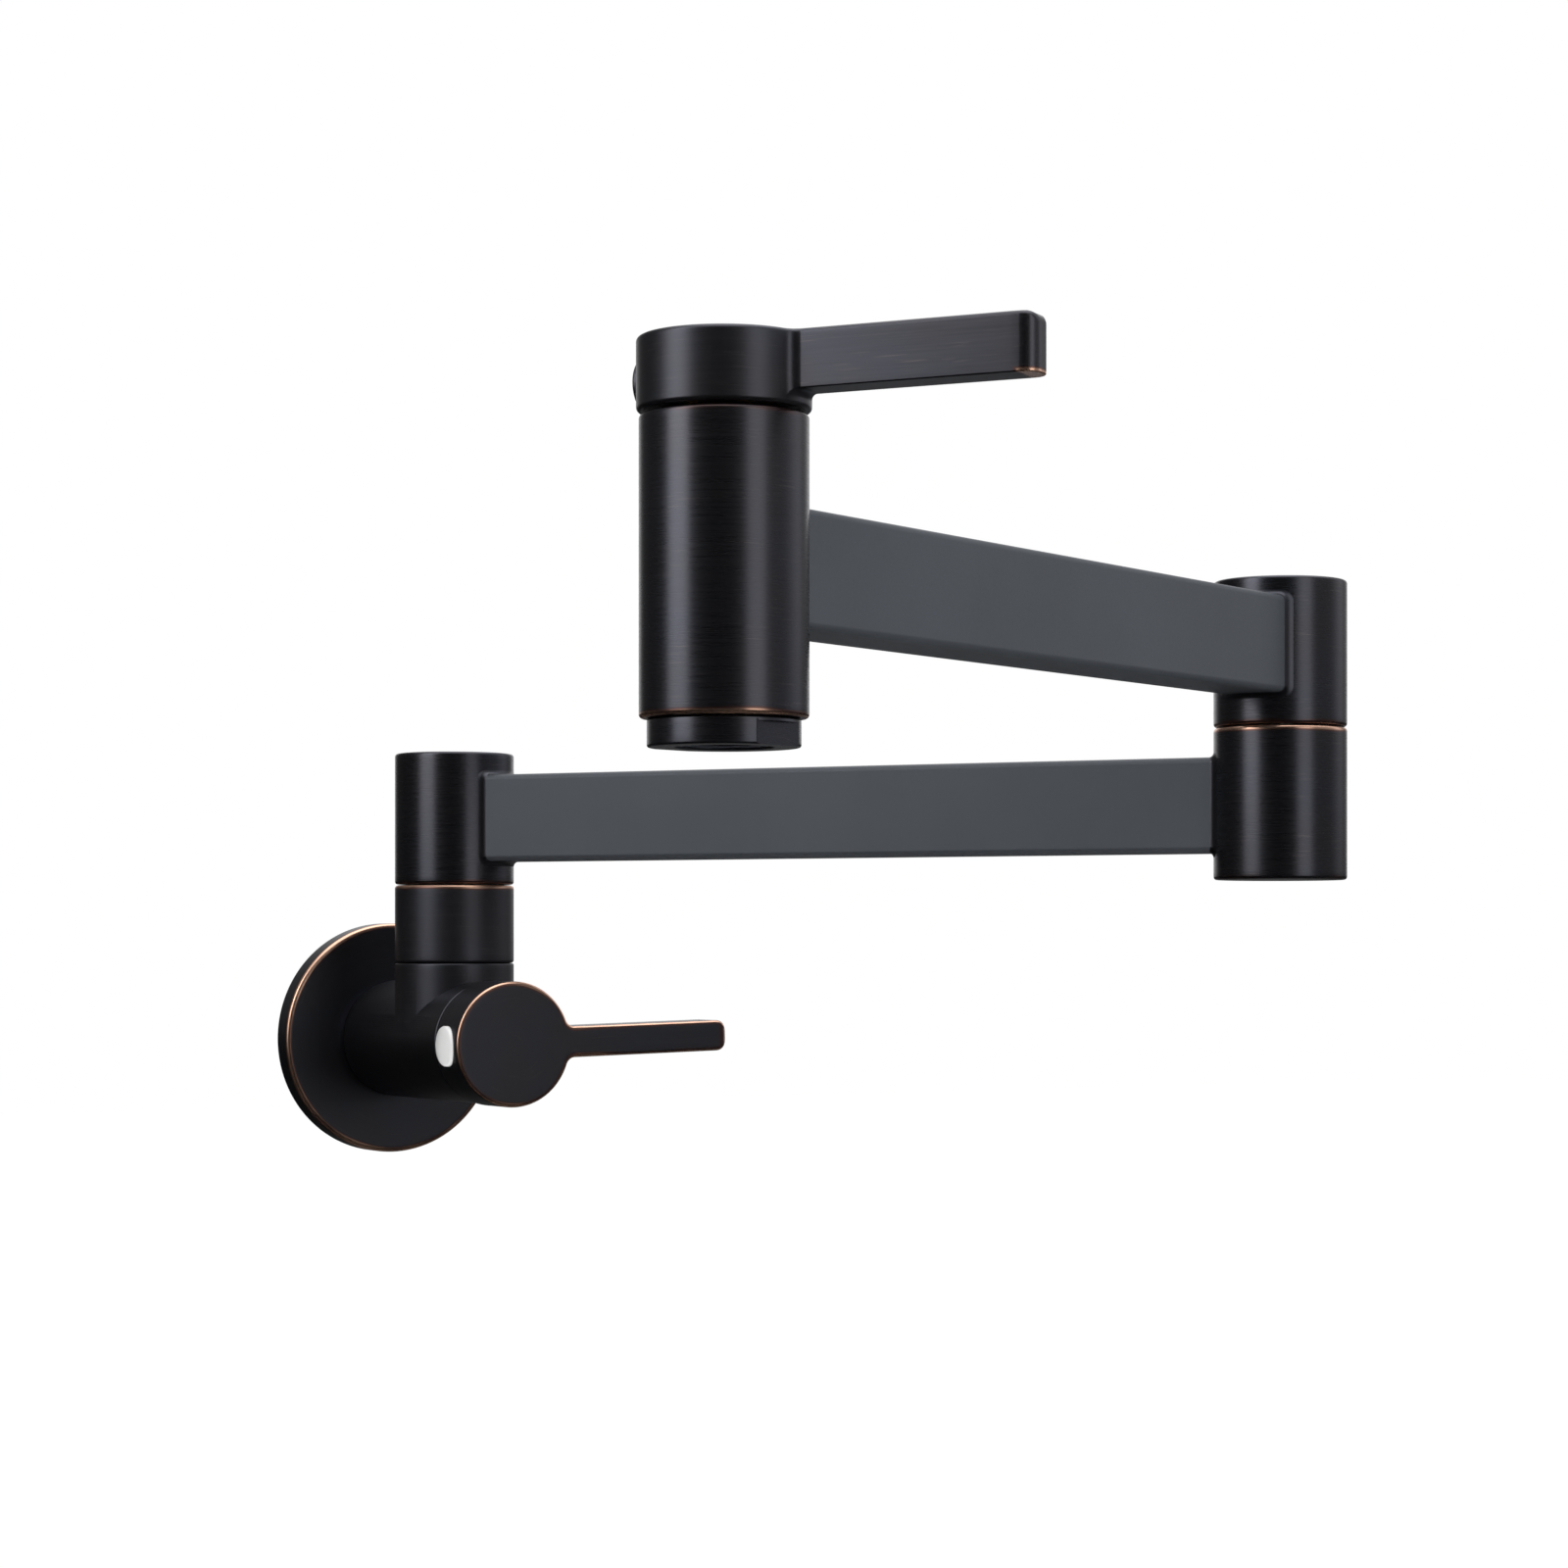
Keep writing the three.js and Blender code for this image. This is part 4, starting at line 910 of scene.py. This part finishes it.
def makeHandle(name, node, place, carrier, turnedFinish, leverFinish, rubbed):
    size = handle
    radius, height, sides = size["radius"], size["height"], size["sides"]
    roof = height - size["roof"]
    under = height - size["leverHeight"] - (leverRows(size)[size["rootRows"] - 1][0] - radius)
    dropSelection()
    bpy.ops.mesh.primitive_circle_add(vertices=sides, radius=radius * mm, fill_type="NGON")
    cap = bpy.context.object
    cap.name = cap.data.name = name
    setMode("EDIT")
    for rise in (under, height - under):
        pullFaces(0, 0, rise)
    faceOutward()
    pullLever(cap, size)
    roundEdges(cap, lambda a, b: min(a.z, b.z) > height - size["nose"], size["frontRound"], 5, 40)
    roundSharp(cap, size["rearRound"], 3)
    chooseFaces(cap, lambda centre, normal: centre.z > height - 0.001)
    bpy.ops.mesh.inset(thickness=size["rubDepth"] * mm)
    setMode("OBJECT")
    lowEdge = height - size["leverHeight"]
    splitAt(cap, (0, 0, height - size["frontRound"] - size["rubDepth"]), (0, 0, 1))
    splitAt(cap, (0, 0, lowEdge + size["tipRubHeight"]), (0, 0, 1))
    splitAt(cap, (size["lever"] - size["tipRub"], 0, 0), (1, 0, 0))
    splitAt(cap, (radius + size["leverSeam"], 0, 0), (1, 0, 0))
    for tool in (
        spinOutline("recess", [(size["hub"], -1), (radius - size["wall"], -1), (radius - size["wall"], roof),
                               (size["hub"], roof)], 96, halo=99),
        addRod(size["bore"], -1, roof, 48),
        addRod(size["hub"] + size["hubPlay"], -1, size["hubStart"], 96),
        turnPiece(addRod(button["radius"] + button["gap"], radius - button["sink"], radius + 2, 96),
                  sideways),
    ):
        cutWith(cap, tool)
    rub = cap.data.attributes.new("rub", "FLOAT", "POINT")
    for vertex in cap.data.vertices:
        rub.data[vertex.index].value = rubbed(vertex)
    for face in cap.data.polygons:
        face.material_index = 1 if face.center.x / mm > radius + size["leverSeam"] else 0
    return finishPiece(cap, place, carrier, [node], "oil_rubbed_bronze", turnedFinish, leverFinish)


def frontRub(vertex):
    # the wall handle is rubbed all round its front outline
    return wear(vertex, 0.6) if vertex.co.z / mm > handle["height"] - handle["frontRub"] else 0.0


def tipRub(vertex):
    # the spout handle only under its tip
    low = handle["height"] - handle["leverHeight"]
    fadeAlong, fadeUp = handle["tipFade"]
    along = (vertex.co.x / mm - handle["lever"] + handle["tipRub"]) / fadeAlong
    upward = (low + handle["tipRubHeight"] - vertex.co.z / mm) / fadeUp
    return max(0, min(1, along)) * max(0, min(1, upward))


wallHandleSeat = outOfWall @ seat(0, 0, handleStart["wall"], leverLift)
spoutHandleSeat = seat(spoutAxis.x, spoutAxis.y, handleStart["spout"], leverHeading)
makeHandle("wallLever", "wall_handle", wallHandleSeat, "wall_handle_set",
           wallBronze, wallLeverBronze, frontRub)
makeHandle("spoutLever", "spout_handle", spoutHandleSeat, "spout_handle_set",
           handleBronze, spoutLeverBronze, tipRub)


def makeButton(name, node, place, carrier, slot, finish):
    # a low dome with a soft rim, a little proud of the side of the handle
    size, radius = button, button["radius"]
    foot = handle["radius"] - size["sink"] + size["lift"]
    edge = handle["radius"] + size["proud"]
    sphere = (radius ** 2 + size["crown"] ** 2) / (2 * size["crown"])
    outline = [(0, foot), (radius, foot)]
    for i in range(13):
        r = radius * (1 - i / 12)
        outline.append((r, edge + size["crown"] - sphere + math.sqrt(sphere ** 2 - r ** 2)))
    piece = spinOutline(name, outline, 96, closed=False, halo=9)
    roundSharp(piece, size["round"], 6, 50)
    return finishPiece(piece, place @ sideways, carrier, [node], slot, finish)


makeButton("wallButton", "wall_index_button", wallHandleSeat, "wall_handle_set",
           "white_plastic", whitePlastic)
makeButton("spoutButton", "spout_index_button", spoutHandleSeat, "spout_handle_set",
           "oil_rubbed_bronze", handleBronze)
print("pieces made")

# Camera where the photograph was taken from, level, shifted up
camera = {"place": (-0.4037, -0.9118, 0.0264), "yaw": -30.38, "lens": 80.7, "shift": 0.1017}
facing = (math.radians(90), 0, math.radians(camera["yaw"]))
bpy.ops.object.camera_add(location=camera["place"], rotation=facing)
eye = bpy.context.object
eye.data.lens = camera["lens"]
eye.data.shift_y = camera["shift"]
eye.data.clip_start = 0.01
bpy.context.scene.camera = eye

# Floor and studio light
studio = {"floorHeight": -0.22, "floorSize": 8, "hidden": 0.95, "glow": 1.02, "cardMiddle": 0.3}
dropSelection()
bpy.ops.mesh.primitive_plane_add(size=studio["floorSize"], location=(0, 0, studio["floorHeight"]))
floor = bpy.context.object
floor.name = "floor"
material, tree, shader = newMaterial("paleFloor")
path = addNode(tree, "ShaderNodeLightPath")
shader.inputs["Base Color"].default_value = linear("#f4f4f4")
shader.inputs["Roughness"].default_value = 0.9
# the camera sees it white, with the object's shadow faintly on it
white = addNode(tree, "ShaderNodeEmission", inputs={"Color": (1, 1, 1, 1), "Strength": studio["glow"]})
seen = maths(tree, "MULTIPLY", path.outputs["Is Camera Ray"], studio["hidden"])
mixed = addNode(tree, "ShaderNodeMixShader", inputs={0: seen, 1: shader.outputs[0], 2: white.outputs[0]})
tree.links.new(mixed.outputs[0], tree.nodes["Material Output"].inputs["Surface"])
floor.data.materials.append(material)
floor.visible_glossy = False


def softBox(name, place, size, strength, levels):
    # an upright card that only the reflections see; its light grows from bottom to top
    dropSelection()
    bpy.ops.mesh.primitive_plane_add(size=1, location=place)
    card = bpy.context.object
    card.name = name
    card.scale = (size[0], size[1], 1)
    card.rotation_euler = (math.radians(90), 0, math.atan2(-place[0], place[1]))
    bpy.ops.object.transform_apply(location=False, rotation=False, scale=True)
    material, tree = newMaterial(name + "Light")[:2]
    apart = addNode(tree, "ShaderNodeSeparateXYZ", inputs={0: objectPlace(tree)})
    rise = remap(tree, apart.outputs["Y"], -size[1] / 2, size[1] / 2)
    ramp = addNode(tree, "ShaderNodeValToRGB", inputs={0: rise})
    ramp.color_ramp.elements.new(studio["cardMiddle"])
    for element, level in zip(ramp.color_ramp.elements, levels):
        element.color = (level, level, level, 1)
    glow = addNode(tree, "ShaderNodeEmission", inputs={"Color": ramp.outputs[0], "Strength": strength})
    tree.links.new(glow.outputs[0], tree.nodes["Material Output"].inputs["Surface"])
    card.data.materials.append(material)
    card.visible_camera = False
    card.visible_diffuse = False
    card.visible_shadow = False


softBox("leftBox", (-1.073, -0.25, 0.55), (0.56, 1.0), 3.0, (0.6, 1.0, 1.15))
softBox("rightBox", (0.225, -1.483, 0.35), (0.55, 1.1), 1.25, (0.7, 1.0, 1.0))

# The room, by the height and the bearing of each direction
room = {"right": (0.8627, -0.5058, 0), "back": (-0.5058, -0.8627, 0),  # seen from the camera
        "horizon": (-0.03, 0.12), "floorShare": 0.1, "overhead": (0.6, 0.95), "overheadGlow": 1.8,
        "backdrop": (-0.8, -0.97), "backdropFoot": (-0.04, 0.04), "coolAbove": 0.3, "cool": 1.03}
world = bpy.data.worlds.new("studio")
bpy.context.scene.world = world
world.use_nodes = True
tree = world.node_tree
background = tree.nodes["Background"]
view = addNode(tree, "ShaderNodeTexCoord").outputs["Generated"]
up = addNode(tree, "ShaderNodeSeparateXYZ", inputs={0: view}).outputs["Z"]
right, back = (addNode(tree, "ShaderNodeVectorMath", {"operation": "DOT_PRODUCT"}, {
    0: view, 1: room[side]}).outputs["Value"] for side in ("right", "back"))
turned = remap(tree, maths(tree, "ARCTAN2", right, back), -math.pi, math.pi)
ramp = addNode(tree, "ShaderNodeValToRGB", inputs={0: turned})
# how bright the room is at each bearing in degrees, 0 being toward the camera
stops = ((-180, 1.0), (-152, 0.12), (-100, 0.07), (-40, 0.05), (-20, 0.02), (12, 0.02), (30, 0.12), (70, 0.3),
         (92, 0.33), (110, 0.85), (124, 0.85), (132, 0.25), (146, 0.3), (162, 1.0), (180, 1.0))
while len(ramp.color_ramp.elements) < len(stops):
    ramp.color_ramp.elements.new(0.5)
for element, (angle, level) in zip(ramp.color_ramp.elements, stops):
    element.position = (angle + 180) / 360
    blue = level * room["cool"] if level > room["coolAbove"] else level
    element.color = (level, level, blue, 1)
sides = scaled(tree, ramp.outputs[0], remap(tree, up, *room["horizon"], room["floorShare"]))
around = addNode(tree, "ShaderNodeVectorMath", {"operation": "ADD"}, {
    0: sides, 1: remap(tree, up, *room["overhead"], 0.0, room["overheadGlow"], "SMOOTHSTEP")})
# white where the camera looks, and where metal mirrors that same backdrop above the floor
behind = remap(tree, back, *room["backdrop"], kind="SMOOTHSTEP")
above = remap(tree, up, *room["backdropFoot"], 0.0, behind, "SMOOTHSTEP")
path = addNode(tree, "ShaderNodeLightPath")
mirrored = maths(tree, "ADD", path.outputs["Is Glossy Ray"], path.outputs["Is Transmission Ray"])
white = addNode(tree, "ShaderNodeMath", {"operation": "MULTIPLY_ADD", "use_clamp": True}, {
    0: mirrored, 1: above, 2: path.outputs["Is Camera Ray"]})
shown = mixColours(tree, white.outputs[0], around.outputs[0], (1, 1, 1, 1))
tree.links.new(shown, background.inputs["Color"])

# Two soft lamps for what is matt; the metal sees the cards and the room instead
fills = (("frontFill", (-0.15, -1.5, 0.7), 13, 1.0), ("topFill", (0.6, -0.6, 2.0), 7.5, 1.8))
lampTarget = Vector((0, -0.2, 0.05))
for name, place, power, width in fills:
    dropSelection()
    bpy.ops.object.light_add(type="AREA", location=place)
    lamp = bpy.context.object
    lamp.name = name
    lamp.data.energy = power
    lamp.data.size = width
    lamp.rotation_euler = (lampTarget - Vector(place)).to_track_quat("-Z", "Y").to_euler()
    lamp.visible_glossy = False

bpy.context.scene.view_settings.view_transform = "Standard"
print("scene ready")
